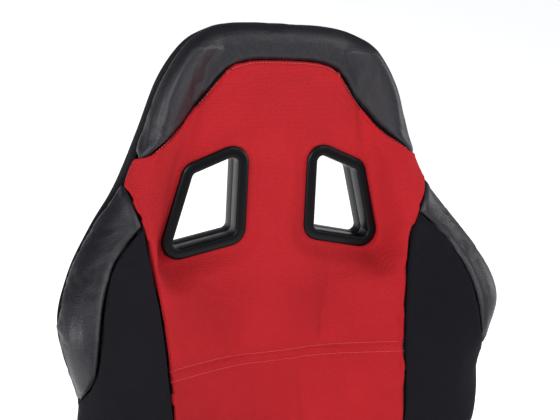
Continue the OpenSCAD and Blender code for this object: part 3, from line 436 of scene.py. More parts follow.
def bell(d, width):
    """1 where d is nothing, and soon 0 beyond the width."""
    return np.exp(-((d / width) ** 2))


def edge_fall(d, r):
    """How far a rounded edge has dropped at a distance d from the outline."""
    return np.where(d >= r, 0, r - np.sqrt(np.maximum(0, r * r - (r - d) ** 2)))


# %% Sizes of the backrest, in millimetres
BACK_Z0, HINGE_Z, SEAM_Z, WING_Z, NECK_Z, HEAD_Z, HEAD_TOP = 20, 172, 392, 463, 608, 722, 793
HIP_W, WAIST_W, WING_W, NECK_W, HEAD_W = 402, 510, 559, 396, 304
LUMBAR, WING_DEPTH, HEAD_DEPTH, REAR_DEPTH = 50, 80, 39, 34
CENTRE = 156
LEATHER_TOP = WING_Z + 102
HEAD_CUT, HEAD_CORNER, HEAD_ARCH = HEAD_TOP - 54, 72, 11.5


def between(a, b, t):
    return a + (b - a) * t


OUTLINE_KEYS = [
    (HIP_W / 2 - 3, BACK_Z0), (HIP_W / 2 - 1, 100), (HIP_W / 2, HINGE_Z),
    (between(HIP_W, WAIST_W, 0.5) / 2, HINGE_Z + 45), (between(HIP_W, WAIST_W, 0.88) / 2, HINGE_Z + 98),
    (WAIST_W / 2 + 4, HINGE_Z + 160), (between(WAIST_W, WING_W, 0.15) / 2 + 1, SEAM_Z - 8),
    (WING_W / 2, WING_Z), (between(NECK_W, WING_W, 0.83) / 2, WING_Z + 52),
    (between(NECK_W, WING_W, 0.46) / 2, WING_Z + 97), (NECK_W / 2, NECK_Z),
    (between(NECK_W, HEAD_W, 0.52) / 2, between(NECK_Z, HEAD_Z, 0.48)), (HEAD_W / 2, HEAD_Z),
    (HEAD_W / 2 - 28, HEAD_TOP - 29), (HEAD_W / 2 - 57, HEAD_TOP - 10),
    (HEAD_W / 2 - 92, HEAD_TOP - 2), (0, HEAD_TOP)]
OUTLINE = line_through(OUTLINE_KEYS, 8)
OUTLINE_WIDTH = [(z, x) for x, z in OUTLINE_KEYS[:-1]]
CENTRE_W = [(BACK_Z0, -6), (60, 16), (120, 36), (200, LUMBAR), (300, LUMBAR - 4), (SEAM_Z, 30),
            (WING_Z + 12, 12), (WING_Z + 97, 0), (NECK_Z + 32, -1), (HEAD_Z, 5), (HEAD_TOP, 14)]
SIDE_W = [(BACK_Z0, 8), (60, 34), (120, 60), (200, WING_DEPTH + 15), (290, WING_DEPTH + 49),
          (345, WING_DEPTH + 46), (SEAM_Z, WING_DEPTH + 44),
          (WING_Z + 7, 38 + WING_DEPTH), (LEATHER_TOP, between(HEAD_DEPTH, WING_DEPTH, 0.5)),
          (NECK_Z + 37, HEAD_DEPTH), (HEAD_Z, HEAD_DEPTH - 4), (HEAD_TOP, HEAD_DEPTH - 10)]
RISE_AT = [(BACK_Z0, 0.3), (200, 0.18), (SEAM_Z - 40, 0.05), (SEAM_Z, 0.15), (WING_Z - 38, 0.19),
           (WING_Z + 7, 0.21), (WING_Z + 37, 0.26), (WING_Z + 77, 0.29), (LEATHER_TOP, 0.25),
           (NECK_Z - 8, 0.5), (NECK_Z + 37, 0.62), (HEAD_TOP, 0.6)]
EDGE_R = [(BACK_Z0, 12), (120, 20), (250, 26), (SEAM_Z, 30), (WING_Z + 7, 30), (NECK_Z + 37, 26),
          (HEAD_TOP, 22)]
TAPER = [(BACK_Z0, 3), (300, 10), (WING_Z + 7, 14), (NECK_Z, 5), (HEAD_TOP, 4)]
REAR_EDGE = [(BACK_Z0, -REAR_DEPTH + 1), (HINGE_Z - 10, -REAR_DEPTH + 1), (300, 10), (WING_Z + 7, 34),
             (WING_Z + 81, 10), (WING_Z + 128, -23), (NECK_Z + 12, -REAR_DEPTH + 1),
             (HEAD_TOP, -REAR_DEPTH + 1)]
SLOT = np.array([(53, 637), (110, 614), (137, 520), (54, 537)], float)
FLANGE = 14


def half_width(z):
    return curve(OUTLINE_WIDTH, z)


def base_w(x, z):
    u, a = np.abs(x) / half_width(np.minimum(z, HEAD_Z + 40)), curve(RISE_AT, z)
    return between(curve(CENTRE_W, z), curve(SIDE_W, z), smooth((u - a) / (0.97 - a)))


def slot_distance(x, z):
    """How far a point lies outside a slot, measured from its sides."""
    gaps = []
    for a, b in zip(SLOT, np.roll(SLOT, -1, axis=0)):
        d = (b - a) / np.hypot(*(b - a))
        gaps.append((z - a[1]) * d[0] - (np.abs(x) - a[0]) * d[1])
    return np.max(gaps, axis=0)


def slot_gap(x, z):
    """The same, but measured round the corners."""
    apart = line_distance(np.abs(x), z, np.concatenate([SLOT, SLOT[:1]]))
    return np.where(slot_distance(x, z) > 0, apart, 0)


def front_w(x, z):
    """How far the cover stands forward."""
    open_w = base_w(x, z) - edge_fall(line_distance(np.abs(x), z, OUTLINE), curve(EDGE_R, z))
    gap = slot_gap(x, z) - FLANGE - 1.5
    room = np.clip(0.8 * (gap + red_half(z) - np.abs(x)), 7, 26)
    return between(open_w, -0.4, 1 - smooth(gap / room))


def rear_w(x, z):
    u = np.abs(x) / half_width(np.minimum(z, HEAD_Z + 40))
    return between(-REAR_DEPTH, curve(REAR_EDGE, z), smooth((u - 0.77) / 0.23))


print("slots from", SLOT[:, 1].min(), "to", SLOT[:, 1].max(), "mm above the pivot")

# %% [markdown]
# ## Seams
# The red centre widens above the slots until it reaches the outline at the neck, and a leatherette
# roll closes each wing and the head. These curves give each seam's distance from the middle.

# %% Seam lines
RED_LOW = [(BACK_Z0, CENTRE - 2), (SEAM_Z - 41, CENTRE - 2), (SEAM_Z + 33, CENTRE + 2),
           (WING_Z + 3, CENTRE + 6), (WING_Z + 37, CENTRE + 11), (WING_Z + 76, CENTRE + 18),
           (LEATHER_TOP, NECK_W / 2 - 18), (NECK_Z - 1, NECK_W / 2 - 1)]
RED_HEAD = [(NECK_Z + 28, NECK_W / 2 - 14), (NECK_Z + 47, HEAD_W / 2 - 1), (NECK_Z + 62, HEAD_W / 2 - 19.5),
            (NECK_Z + 76, HEAD_W / 2 - 33), (HEAD_TOP - 79, HEAD_W / 2 - 58),
            (HEAD_TOP - 63, HEAD_W / 2 - 70.5), (HEAD_CUT, HEAD_CORNER)]
LEATHER_IN = [(SEAM_Z, between(WAIST_W, WING_W, 0.15) / 2 + 1.5), (SEAM_Z + 10, WING_W / 2 - 23),
              (SEAM_Z + 22, WING_W / 2 - 28.5), (SEAM_Z + 36, WING_W / 2 - 34), (WING_Z, WING_W / 2 - 40),
              (WING_Z + 27, WING_W / 2 - 45), (WING_Z + 48, WING_W / 2 - 52), (WING_Z + 68, WING_W / 2 - 62),
              (WING_Z + 85, WING_W / 2 - 79), (LEATHER_TOP, NECK_W / 2 - 18)]


def red_half(z):
    neck = between(NECK_W / 2 - 1, NECK_W / 2 - 14, (z - NECK_Z + 1) / 29)
    return np.where(z <= NECK_Z - 1, curve(RED_LOW, z), np.where(z < NECK_Z + 28, neck, curve(RED_HEAD, z)))


def leather_half(z):
    low = np.where(z < SEAM_Z, half_width(z), curve(LEATHER_IN, z))
    return np.where(z > LEATHER_TOP, red_half(z), low)


def head_arch(x):
    """How much the head seam rises towards the middle."""
    return HEAD_ARCH * np.clip(1 - (x / HEAD_CORNER) ** 4, 0, 1)


HEAD_SEAM = [(float(red_half(z)), float(z)) for z in np.linspace(NECK_Z + 28.5, HEAD_CUT, 12)] + [
    (x, HEAD_CUT + float(head_arch(x))) for x in (66, 58, 48, 34, 18, 0)]


def even_steps(line, count):
    """Points along a line at even steps."""
    line = np.array(line, float)
    length = np.concatenate([[0], np.cumsum(np.linalg.norm(np.diff(line, axis=0), axis=1))])
    at = np.linspace(0, length[-1], count)
    return np.column_stack([np.interp(at, length, line[:, k]) for k in (0, 1)])


# %% [markdown]
# ## Sewing tools
# Each panel starts as a grid of points between two seams. A short cloth simulation with a little
# pressure lets it belly out between the seams, which are held. Then the edges are tucked into the
# seam, small gathers run away from it, and the sheet gets its thickness.

# %% Smooth noise


class Ripple:
    """Repeatable smooth noise between -1 and 1."""

    def __init__(self, seed):
        self.table = np.random.default_rng(seed).uniform(-1, 1, (64, 64))

    def __call__(self, u, v):
        i, j = np.floor(u).astype(int), np.floor(v).astype(int)
        a, b = smooth(u - i), smooth(v - j)
        t = self.table
        row = [between(t[(i + k) % 64, j % 64], t[(i + k) % 64, (j + 1) % 64], b) for k in (0, 1)]
        return between(row[0], row[1], a)


# %% Grids of points


def grid_faces(rows, cols):
    i, j = np.meshgrid(np.arange(rows - 1), np.arange(cols - 1), indexing="ij")
    a = (i * cols + j).ravel()
    return np.stack([a, a + 1, a + cols + 1, a + cols], axis=-1)


def sheet_mesh(name, grid, keep=None):
    """A mesh object from a grid of points; keep says which of its cells exist."""
    rows, cols = grid.shape[:2]
    faces = grid_faces(rows, cols)
    if keep is not None:
        faces = faces[keep.ravel()]
    mesh = bpy.data.meshes.new(name)
    used = np.unique(faces)
    index = np.full(rows * cols, -1)
    index[used] = np.arange(len(used))
    mesh.from_pydata(grid.reshape(-1, 3)[used].tolist(), [], index[faces].tolist())
    mesh.update()
    ob = bpy.data.objects.new(name, mesh)
    bpy.context.collection.objects.link(ob)
    return ob


def normals_of(grid):
    du = np.gradient(grid, axis=1)
    dv = np.gradient(grid, axis=0)
    n = np.cross(du, dv)
    for _ in range(3):
        wide = np.pad(n, ((1, 1), (1, 1), (0, 0)), mode="edge")
        n = wide[:-2, 1:-1] + wide[2:, 1:-1] + wide[1:-1, :-2] + wide[1:-1, 2:] + n
    return n / np.maximum(np.linalg.norm(n, axis=-1, keepdims=True), 1e-15)


def raised(grid, lift):
    """A grid moved along its normals, by millimetres."""
    return grid + normals_of(grid) * (lift * MM)[..., None]


INWARD = 6


def inner_lines(field):
    """The rows and columns of a grid that lie a few steps in from each side."""
    return {"left": field[:, INWARD], "right": field[:, -INWARD - 1],
            "bottom": field[INWARD], "top": field[-INWARD - 1]}


def seam_distances(grid):
    """Along the cloth, how far each point is from the first and last row and the first and last column."""
    down = np.concatenate([np.zeros((1, grid.shape[1])),
                           np.cumsum(np.linalg.norm(np.diff(grid, axis=0), axis=-1), axis=0)])
    across = np.concatenate([np.zeros((grid.shape[0], 1)),
                             np.cumsum(np.linalg.norm(np.diff(grid, axis=1), axis=-1), axis=1)], axis=1)
    gaps = {"bottom": down, "top": down[-1:] - down, "left": across, "right": across[:, -1:] - across}
    inner = inner_lines(grid)
    for side, edge in (("bottom", grid[0]), ("top", grid[-1]), ("left", grid[:, 0]), ("right", grid[:, -1])):
        along, over = np.gradient(edge, axis=0), inner[side] - edge
        lengths = np.linalg.norm(along, axis=1) * np.linalg.norm(over, axis=1)
        sine = np.clip(np.linalg.norm(np.cross(along, over), axis=1) / np.maximum(lengths, 1e-12), 0.4, 1)
        gaps[side] = gaps[side] * (sine[None, :] if side in ("bottom", "top") else sine[:, None])
    return gaps, down, across


# %% Padding
SETTLING = 20


def bellied(grid, pressure, spare, cap, held=()):
    """Lets a sheet held at its border belly out under pressure, by no more than cap."""
    ob = sheet_mesh("cloth_try", grid)
    rows, cols = grid.shape[:2]
    border = np.zeros((rows, cols), bool)
    border[[0, -1], :] = border[:, [0, -1]] = True
    for row in held:
        border[row, :] = True
    group = ob.vertex_groups.new(name="held")
    group.add([int(i) for i in np.flatnonzero(border)], 1.0, "REPLACE")
    cloth = ob.modifiers.new("cloth", "CLOTH")
    rules = cloth.settings
    rules.vertex_group_mass = "held"
    rules.quality = 4
    rules.use_pressure = True
    rules.uniform_pressure_force = pressure
    rules.shrink_min = -spare
    rules.bending_stiffness = 0.4
    rules.effector_weights.gravity = 0
    cloth.collision_settings.use_collision = False
    scene = bpy.context.scene
    for step in range(1, SETTLING + 1):
        scene.frame_set(step)
    settled = ob.evaluated_get(bpy.context.evaluated_depsgraph_get()).to_mesh()
    co = np.empty(rows * cols * 3)
    settled.vertices.foreach_get("co", co)
    scene.frame_set(1)
    bpy.data.objects.remove(ob)
    move = co.reshape(rows, cols, 3) - grid
    size = np.linalg.norm(move, axis=-1, keepdims=True)
    print("   swells by up to %.1f mm, capped at %.1f" % (size.max() * 1000, cap))
    return grid + move * (np.tanh(size / (cap * MM)) * cap * MM / np.maximum(size, 1e-9))


def tucked(grid, seams, gathers=0.0, seed=1, depth=3.6, width=2.4, pitch=11.0, reach=15.0, roll=1.0):
    """Pulls the edges named in seams down into the seam. Gathers run away from them, by each one's share."""
    gaps, down, across = seam_distances(grid)
    normal = normals_of(grid)
    along_rows, along_cols = np.gradient(grid, axis=0), np.gradient(grid, axis=1)
    ripple = Ripple(seed)
    nearest = np.min([gaps[side] for side in seams], axis=0) / MM
    lift = -depth * np.exp(-((nearest / width) ** 1.4))
    lift += 0.9 * roll * bell(nearest - width * 3.0, width * 2.2)
    slide = np.zeros_like(grid)
    for side, strength in seams.items():
        d = gaps[side] / MM
        along = (across if side in ("top", "bottom") else down) / MM
        way = along_rows if side in ("top", "bottom") else along_cols
        way = way / np.maximum(np.linalg.norm(way, axis=-1, keepdims=True), 1e-9)
        outward = 1 if side in ("top", "right") else -1
        slide += way * (outward * 0.3 * MM * bell(d, 0.9))[..., None]
        if gathers:
            fold = ripple(along / pitch + d / 60.0, along * 0 + d / 30.0 + seed)
            fine = ripple(along / (pitch * 0.45) + 7, d / 17.0 + 9.0)
            fade = strength * np.exp(-((d / reach) ** 1.3)) * (1 - bell(nearest, 3.5))
            lift += gathers * (0.9 * fold + 0.5 * fine) * fade
    return grid + normal * (lift * MM)[..., None] + slide


def steps_across(count, length, first=True, last=True, fine=(0.8, 1.8, 3.1, 5.0)):
    """Places from 0 to 1 across a panel, with a few close to the seams at its ends."""
    near = np.array((0.0,) + fine) / length
    even = np.linspace(0, 1, count)
    if first:
        even = np.concatenate([near, even[even > near[-1] * 1.4]])
    if last:
        even = np.concatenate([even[even < 1 - near[-1] * 1.4], 1 - near[::-1]])
    return even


def allowance(grid, sides, deep=6.0):
    """Adds a seam allowance at some sides: the cloth turns down into the seam."""
    inner = inner_lines(normals_of(grid))
    for side in sides:
        axis = 1 if side in ("left", "right") else 0
        first = side in ("left", "bottom")
        edge = np.take(grid, [0 if first else -1], axis=axis)
        extra = edge - np.expand_dims(inner[side], axis) * deep * MM
        grid = np.concatenate([extra, grid] if first else [grid, extra], axis=axis)
        for other in (("bottom", "top") if axis == 1 else ("left", "right")):
            v = inner[other]
            inner[other] = np.concatenate([v[:1], v] if first else [v, v[-1:]])
    return grid


def shell(name, grid, material, keep=None, thick=2.4, seams=()):
    """Turns a sheet into a closed cover panel of even thickness."""
    grid = allowance(grid, seams)
    if keep is not None:
        edges = [1 if side in seams else 0 for side in ("bottom", "top", "left", "right")]
        keep = np.pad(keep, (edges[:2], edges[2:]), constant_values=True)
    ob = sheet_mesh(name, grid, keep)
    ob.data.materials.append(material)
    solid = ob.modifiers.new("thickness", "SOLIDIFY")
    solid.thickness, solid.offset = thick * MM, -1.0
    solid.use_rim = True
    return baked(ob)


def baked(ob):
    """Applies an object's modifiers and leaves a plain smooth mesh in place."""
    made = bpy.data.meshes.new_from_object(ob.evaluated_get(bpy.context.evaluated_depsgraph_get()))
    made.name = ob.name
    ob.modifiers.clear()
    ob.data = made
    for face in made.polygons:
        face.use_smooth = True
    return ob


def mirrored(grid):
    """The same panel on the other side."""
    other = grid[:, ::-1].copy()
    other[..., 0] *= -1
    return other


def finish_panel(ob, body, nodes):
    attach(ob, body)
    if nodes:
        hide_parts(*nodes)
    print("%-24s %6d faces" % (ob.name, len(ob.data.polygons)))
    return ob


# %% [markdown]
# ## Stitches
# A stitch repeats along a path, so Geometry Nodes sew it: the path is cut into equal lengths, and a
# small capsule lies along each. Its length, gap, thickness and thread are named inputs.

# %% The stitching tree


def stitch_tree():
    group = bpy.data.node_groups.new("stitches", "GeometryNodeTree")
    face = group.interface
    face.new_socket(name="Path", in_out="INPUT", socket_type="NodeSocketGeometry")
    for label, value in (("Length", 0.0032), ("Gap", 0.0011), ("Thickness", 0.0009)):
        face.new_socket(name=label, in_out="INPUT", socket_type="NodeSocketFloat").default_value = value
    face.new_socket(name="Thread", in_out="INPUT", socket_type="NodeSocketMaterial")
    face.new_socket(name="Stitches", in_out="OUTPUT", socket_type="NodeSocketGeometry")
    tree = Tree(group)
    entry = group.nodes.new("NodeGroupInput")
    given = {s.name: Wire(tree, s) for s in entry.outputs if s.name}
    path = tree.add("GeometryNodeMeshToCurve", {}, {0: given["Path"]})
    pitch = given["Length"] + given["Gap"]
    cut = tree.add("GeometryNodeResampleCurve", {"mode": "LENGTH"}, {"Curve": path, "Length": pitch})
    ball = tree.add("GeometryNodeMeshUVSphere", {}, {"Segments": 7, "Rings": 5, "Radius": 0.5})
    size = tree.add("ShaderNodeCombineXYZ", {}, {0: given["Length"], 1: given["Thickness"],
                                                 2: given["Thickness"] * 0.9})
    capsule = tree.add("GeometryNodeTransform", {}, {"Geometry": ball, "Scale": size})
    along = tree.add("FunctionNodeAlignEulerToVector", {"axis": "X"},
                     {"Vector": tree.add("GeometryNodeInputTangent")})
    sewn = tree.add("GeometryNodeInstanceOnPoints", {},
                    {"Points": cut, "Instance": capsule, "Rotation": along})
    plain = tree.add("GeometryNodeRealizeInstances", {}, {"Geometry": sewn})
    done = tree.add("GeometryNodeSetMaterial", {}, {"Geometry": plain, "Material": given["Thread"]})
    leave = group.nodes.new("NodeGroupOutput")
    group.links.new(done.socket, leave.inputs[0])
    return group


STITCHES = stitch_tree()


def sew(name, paths, material, length=3.2, gap=1.1, thick=0.9):
    """Stitches along several paths of points, as one piece."""
    mesh = bpy.data.meshes.new(name)
    points, edges = [], []
    for path in paths:
        start = len(points)
        points += np.asarray(path).tolist()
        edges += [(start + i, start + i + 1) for i in range(len(path) - 1)]
    mesh.from_pydata(points, edges, [])
    ob = bpy.data.objects.new(name, mesh)
    bpy.context.collection.objects.link(ob)
    sewing = ob.modifiers.new("stitches", "NODES")
    sewing.node_group = STITCHES
    sockets = {s.name: s.identifier for s in STITCHES.interface.items_tree if s.in_out == "INPUT"}
    given = {"Length": length * MM, "Gap": gap * MM, "Thickness": thick * MM, "Thread": material}
    for label, value in given.items():
        sewing[sockets[label]] = value
    return baked(ob)


def on_grid(grid, rows, cols, lift=0.35):
    """Points just above a grid at fractional rows and columns."""
    rows, cols = np.broadcast_arrays(np.asarray(rows, float), np.asarray(cols, float))
    normal = normals_of(grid)
    i = np.clip(np.floor(rows).astype(int), 0, grid.shape[0] - 2)
    j = np.clip(np.floor(cols).astype(int), 0, grid.shape[1] - 2)
    a, b = (rows - i)[:, None], (cols - j)[:, None]

    def at(field):
        low = between(field[i, j], field[i, j + 1], b)
        return between(low, between(field[i + 1, j], field[i + 1, j + 1], b), a)
    return at(grid) + at(normal) * lift * MM


# %% [markdown]
# ## The red centre of the backrest
# One wide panel runs from the hips to the head. A double-stitched seam crosses it below the slots,
# and the padding stands a little proud on both sides of that seam.

# %% Red centre panel
CROSS_SEAM, SMILE = 380.0, 15.0
ARCH_FROM = 680
TWIN, EDGE_STITCH = 5.5, 4.2
STEP = 3.6


def rows_between(z0, z1, step=STEP):
    return np.linspace(z0, z1, int(round((z1 - z0) / step)) + 1)


WRAP = ((0.2, 3.5), (0.9, 7.0), (2.6, 9.5))


def outline_normal(x, z, line=OUTLINE):
    """The way out of an outline, at points on its right-hand side."""
    middle = (line[:-1] + line[1:]) / 2
    near = np.argmin((x[:, None] - middle[:, 0]) ** 2 + (z[:, None] - middle[:, 1]) ** 2, axis=1)
    d = np.diff(line, axis=0)[near]
    n = np.column_stack([d[:, 1], -d[:, 0]])
    return n / np.linalg.norm(n, axis=1, keepdims=True)


def over_edge(x, z, w, amount, line=OUTLINE):
    """Extra columns that carry a panel over the outline; where amount is 0 they only dip into the seam."""
    n = outline_normal(np.abs(x), z, line)
    side = np.sign(x)
    cols = []
    for inset, drop in WRAP:
        a = amount * inset
        cols.append((x - side * a * n[:, 0], z - a * n[:, 1], w - between(0.25 * drop, drop, amount)))
    return [np.stack(c, axis=1) for c in zip(*cols)]


def red_grid():
    low, high = CROSS_SEAM - 14, CROSS_SEAM + 16
    rows = [rows_between(BACK_Z0 - 2, low), rows_between(low, high, 1.4), rows_between(high, HEAD_TOP - 60),
            HEAD_CUT - np.array([5.0, 3.1, 1.8, 0.8, 0.0])]
    z = np.unique(np.concatenate(rows))
    t = 2 * steps_across(101, 2 * CENTRE) - 1
    x = red_half(z)[:, None] * t[None, :]
    zz = z[:, None] + 0 * x
    zz = zz + head_arch(x) * smooth((z - ARCH_FROM) / (HEAD_CUT - ARCH_FROM))[:, None]
    zz = zz + SMILE * (x / CENTRE) ** 2 * bell(z - CROSS_SEAM, 60)[:, None]
    w = front_w(x, zz)
    rise = z - CROSS_SEAM
    grooves = bell(rise - TWIN, 1.9) + 0.8 * bell(rise + TWIN, 1.7)
    puffs = bell(np.abs(rise) - 17, 11) + 0.6 * bell(rise, 4.0)
    w = w + (1.0 * puffs - 2.0 * grooves)[:, None] * smooth((red_half(zz) - np.abs(x)) / 9)
    neck = smooth((z - NECK_Z + 8) / 7) * smooth((NECK_Z + 36 - z) / 7)
    for end in (0, -1):
        wrap = over_edge(x[:, end], zz[:, end], w[:, end], neck)
        spare = (1 if end == 0 else -1) * (1 - neck)
        wrap[0] = wrap[0] + spare[:, None] * (0.4, 0.2, 0.0)
        x[:, end] += 0.6 * spare
        wrap = [c[:, ::-1] if end == 0 else c for c in wrap]
        x, zz, w = [np.concatenate([c, g] if end == 0 else [g, c], axis=1) for c, g in zip(wrap, (x, zz, w))]
    return on_back(x, zz, w), x, zz, z


red, red_x, red_z, row_z = red_grid()
rest_red = red
seam_rows = [int(np.argmin(np.abs(row_z - CROSS_SEAM - rise))) for rise in (-TWIN, TWIN)]
red = bellied(red, 3.0, 0.004, 5.0, held=seam_rows)
flat_by_slot = smooth((slot_gap(red_x, red_z) - FLANGE) / 22)[..., None]
red = between(rest_red, red, flat_by_slot)
red = tucked(red, {"left": 1.0, "right": 1.0, "top": 1.0}, gathers=0.5, seed=5, pitch=15.0, reach=20.0)
pucker = bell(row_z - CROSS_SEAM + TWIN, 3.2) + 0.7 * bell(row_z - CROSS_SEAM - TWIN, 3.2)
pucker = pucker[:, None] * smooth((red_half(red_z) - np.abs(red_x) - 2) / 9)
red = raised(red, 0.9 * pucker * Ripple(8)(red_x / 5.5 + 60, row_z[:, None] / 9))
red = raised(red, 0.55 * flat_by_slot[..., 0] * Ripple(31)(red_x / 47 + 40, red_z / 33))
cell_x = (red_x[:-1, :-1] + red_x[1:, 1:]) / 2
cell_z = (red_z[:-1, :-1] + red_z[1:, 1:]) / 2
back_centre = shell("back_centre_cover", red, red_cloth, keep=slot_gap(cell_x, cell_z) > 6.0,
                    seams=("left", "right", "top"))
finish_panel(back_centre, "backrest", ["back_centre"])

# %% Stitching on the red centre
rows, cols = red.shape[:2]
gaps, _, _ = seam_distances(red)


def inset_column(row, side, inset):
    """The fractional column at a distance from a panel's side."""
    d = gaps[side][row] / MM
    order = np.arange(cols)
    return np.interp(inset, d if side == "left" else d[::-1], order if side == "left" else order[::-1])


head_rows = [r for r in range(rows - 8) if red_z[r, 0] > NECK_Z + 36
             and gaps["top"][r, int(inset_column(r, "left", EDGE_STITCH))] > 5.0 * MM]
edge_left, edge_right = [on_grid(red, head_rows, [inset_column(r, side, EDGE_STITCH) for r in head_rows])
                         for side in ("left", "right")]
clear = np.flatnonzero(np.minimum(gaps["left"], gaps["right"])[-6] > 6.0 * MM)
top_cols = np.linspace(clear[0], clear[-1], 90)
top_row = np.array([np.interp(-EDGE_STITCH, -gaps["top"][:, int(c)] / MM, np.arange(rows)) for c in top_cols])
edge_top = on_grid(red, top_row, top_cols)
cross_cols = np.linspace(4.0, cols - 5.0, 170)
cross = [on_grid(red, np.full(len(cross_cols), float(r)), cross_cols, 0.55) for r in seam_rows]
red_stitches = sew("back_centre_stitches", [edge_left, edge_right, edge_top] + cross, red_thread,
                   3.3, 0.9, 1.0)
finish_panel(red_stitches, "backrest", [])


# %% [markdown]
# ## Bolsters, wings and head
# The bolsters fill the space between the red centre and the outline. A leatherette roll starts at
# the widest point of each wing, runs up over the shoulder and ends in a point at the neck, and
# another wraps the head like a horseshoe. All of them go round the edge and end in the seam of the
# side band.

# %% Bolsters


def bolster_grid():
    z = rows_between(BACK_Z0 - 2, LEATHER_TOP - 1.5)
    t = steps_across(30, 75)
    inner, outer = red_half(z), leather_half(z)
    x = inner[:, None] + (outer - inner)[:, None] * t[None, :]
    zz = z[:, None] + 0 * x
    w = front_w(x, zz)
    wrap = over_edge(x[:, -1], z, w[:, -1], 1 - smooth((z - SEAM_Z + 6) / 10))
    return [np.concatenate(pair, axis=1) for pair in zip((x, zz, w), wrap)]


def creased(grid, outer, seed):
    """Short wrinkles where a roll turns its widest corner."""
    gaps, down, _ = seam_distances(grid)
    z = down / MM
    fade = bell(gaps[outer] / MM - 9, 9) * smooth((z - 25) / 15) * smooth((125 - z) / 30)
    return raised(grid, 2.0 * fade * Ripple(seed)(z / 10.0 + gaps[outer] / MM / 30, z / 90.0))


OTHER_SIDE = {"left": "right", "right": "left"}


def backrest_panel(name, points, material, slot, seams, pressure, spare, cap, fill, **shape):
    grid = on_back(*points)
    for side, sign in (("left", -1), ("right", 1)):
        own = mirrored(grid) if sign < 0 else grid
        edges = {(OTHER_SIDE[k] if sign < 0 else k): v for k, v in seams.items()}
        own = bellied(own, pressure, spare, cap)
        own = tucked(own, edges, **{**shape, "seed": shape["seed"] + sign})
        if material is leather:
            own = creased(own, "right" if sign > 0 else "left", shape["seed"] + sign)
        ob = shell("%s_%s_cover" % (name, side), own, material, seams=("left", "right"))
        finish_panel(ob, "backrest", ["%s_%s" % (name, side)])


backrest_panel("back_bolster", bolster_grid(), black_cloth, "black_fabric", {"left": 1.0, "right": 0.9},
               3.0, 0.004, 3.0, 0.7, gathers=0.5, seed=11, pitch=17.0, reach=20.0)

# %% Shoulder rolls


def shoulder_grid():
    z = rows_between(SEAM_Z + 0.5, NECK_Z - 1, 2.6)
    t = steps_across(24, 40, fine=(0.9, 2.1, 3.8))
    inner, outer = leather_half(z), half_width(z)
    x = inner[:, None] + (outer - inner)[:, None] * t[None, :]
    zz = z[:, None] + 0 * x
    w = front_w(x, zz)
    wrap = over_edge(x[:, -1], z, w[:, -1], np.ones(len(z)))
    return [np.concatenate(pair, axis=1) for pair in zip((x, zz, w), wrap)]


backrest_panel("shoulder_roll", shoulder_grid(), leather, "black_leatherette", {"left": 1.0, "right": 0.8},
               2.5, 0.005, 2.5, 0.8, gathers=0.55, seed=21, pitch=14.0, reach=15.0)

# %% Head roll


def head_grid():
    inner = even_steps(HEAD_SEAM, 76)
    outer = even_steps(OUTLINE[OUTLINE[:, 1] > NECK_Z + 28.5], 76)
    inner, outer = [np.concatenate([half[:-1] * (-1, 1), half[::-1]]) for half in (inner, outer)]
    t = steps_across(22, 42, fine=(0.9, 2.1, 3.8))[None, :, None]
    p = inner[:, None] + (outer - inner)[:, None] * t
    x, z = p[..., 0], p[..., 1]
    w = front_w(x, z)
    side = np.where(x[:, -1] == 0, 1e-6, x[:, -1])
    wrap = over_edge(side, z[:, -1], w[:, -1], np.ones(len(x)))
    points = [np.concatenate(pair, axis=1)[:, ::-1] for pair in zip((x, z, w), wrap)]
    return on_back(*points)


head = bellied(head_grid(), 2.5, 0.004, 2.5)
head = tucked(head, {"right": 1.0, "left": 0.8, "bottom": 0.8, "top": 0.8}, gathers=0.5, seed=41, pitch=14.0,
              reach=14.0)
head_cover = shell("head_roll_cover", head, leather, seams=("left", "right"))
finish_panel(head_cover, "backrest", ["head_roll"])

# %% [markdown]
# ## The sides and the rear
# A band of plain cloth joins the front to the rear panel all the way round, and the rear panel is
# stretched nearly flat over the frame. Both end in one seam at the rear edge.

# %% Side band


def outline_rows(step):
    """Points along the outline at even steps, from the hips to the middle of the head."""
    length = np.concatenate([[0], np.cumsum(np.linalg.norm(np.diff(OUTLINE, axis=0), axis=1))])
    at = np.linspace(0, length[-1], int(length[-1] / step) + 1)
    return np.column_stack([np.interp(at, length, OUTLINE[:, 0]), np.interp(at, length, OUTLINE[:, 1])])


def band_grid():
    line = outline_rows(4.5)
    x, z = line.T
    n = outline_normal(x, z)
    top = base_w(np.maximum(x, 0.1), z) - curve(EDGE_R, z)
    rear, taper = curve(REAR_EDGE, z), curve(TAPER, z)
    profile = [(3.6, top - 7.5), (1.4, top - 9.0), (0.5, top - 11.0)]
    for t in np.linspace(0.06, 1, 12):
        profile.append((taper * t - 1.6 * math.sin(math.pi * t), between(top - 11, rear, t)))
    profile += [(taper + 1.2, rear - 1.6), (taper + 3.6, rear - 1.4)]
    cols = [(x - inset * n[:, 0], z - inset * n[:, 1], w) for inset, w in profile]
    xs, zs, ws = [np.stack(c, axis=1) for c in zip(*cols)]
    right = on_back(xs, zs, ws)
    left = right[:-1].copy()
    left[..., 0] *= -1
    return np.concatenate([left, right[::-1]])[:, ::-1]


band = band_grid()
spread = np.arange(band.shape[0])[:, None] / 9.0 + 0 * band[..., 0]
depth = np.arange(band.shape[1])[None, :] / 5.0 + 0 * spread
band = raised(band, 0.8 * Ripple(77)(spread, depth))
band_cover = shell("back_side_band_cover", band[::-1, ::-1], rear_cloth)
finish_panel(band_cover, "backrest", ["back_side_band"])

# %% Rear panel


def rear_grid():
    line = outline_rows(5.0)
    line = line[line[:, 0] > 22]
    n = outline_normal(line[:, 0], line[:, 1])
    inset = curve(TAPER, line[:, 1]) + 2.2
    x, z = (line - inset[:, None] * n).T
    t = np.sin(np.linspace(-1, 1, 71) * math.pi / 2)
    xx = x[:, None] * t
    zz = z[:, None] + 0 * xx
    return xx, zz, rear_w(xx, zz) - 0.6


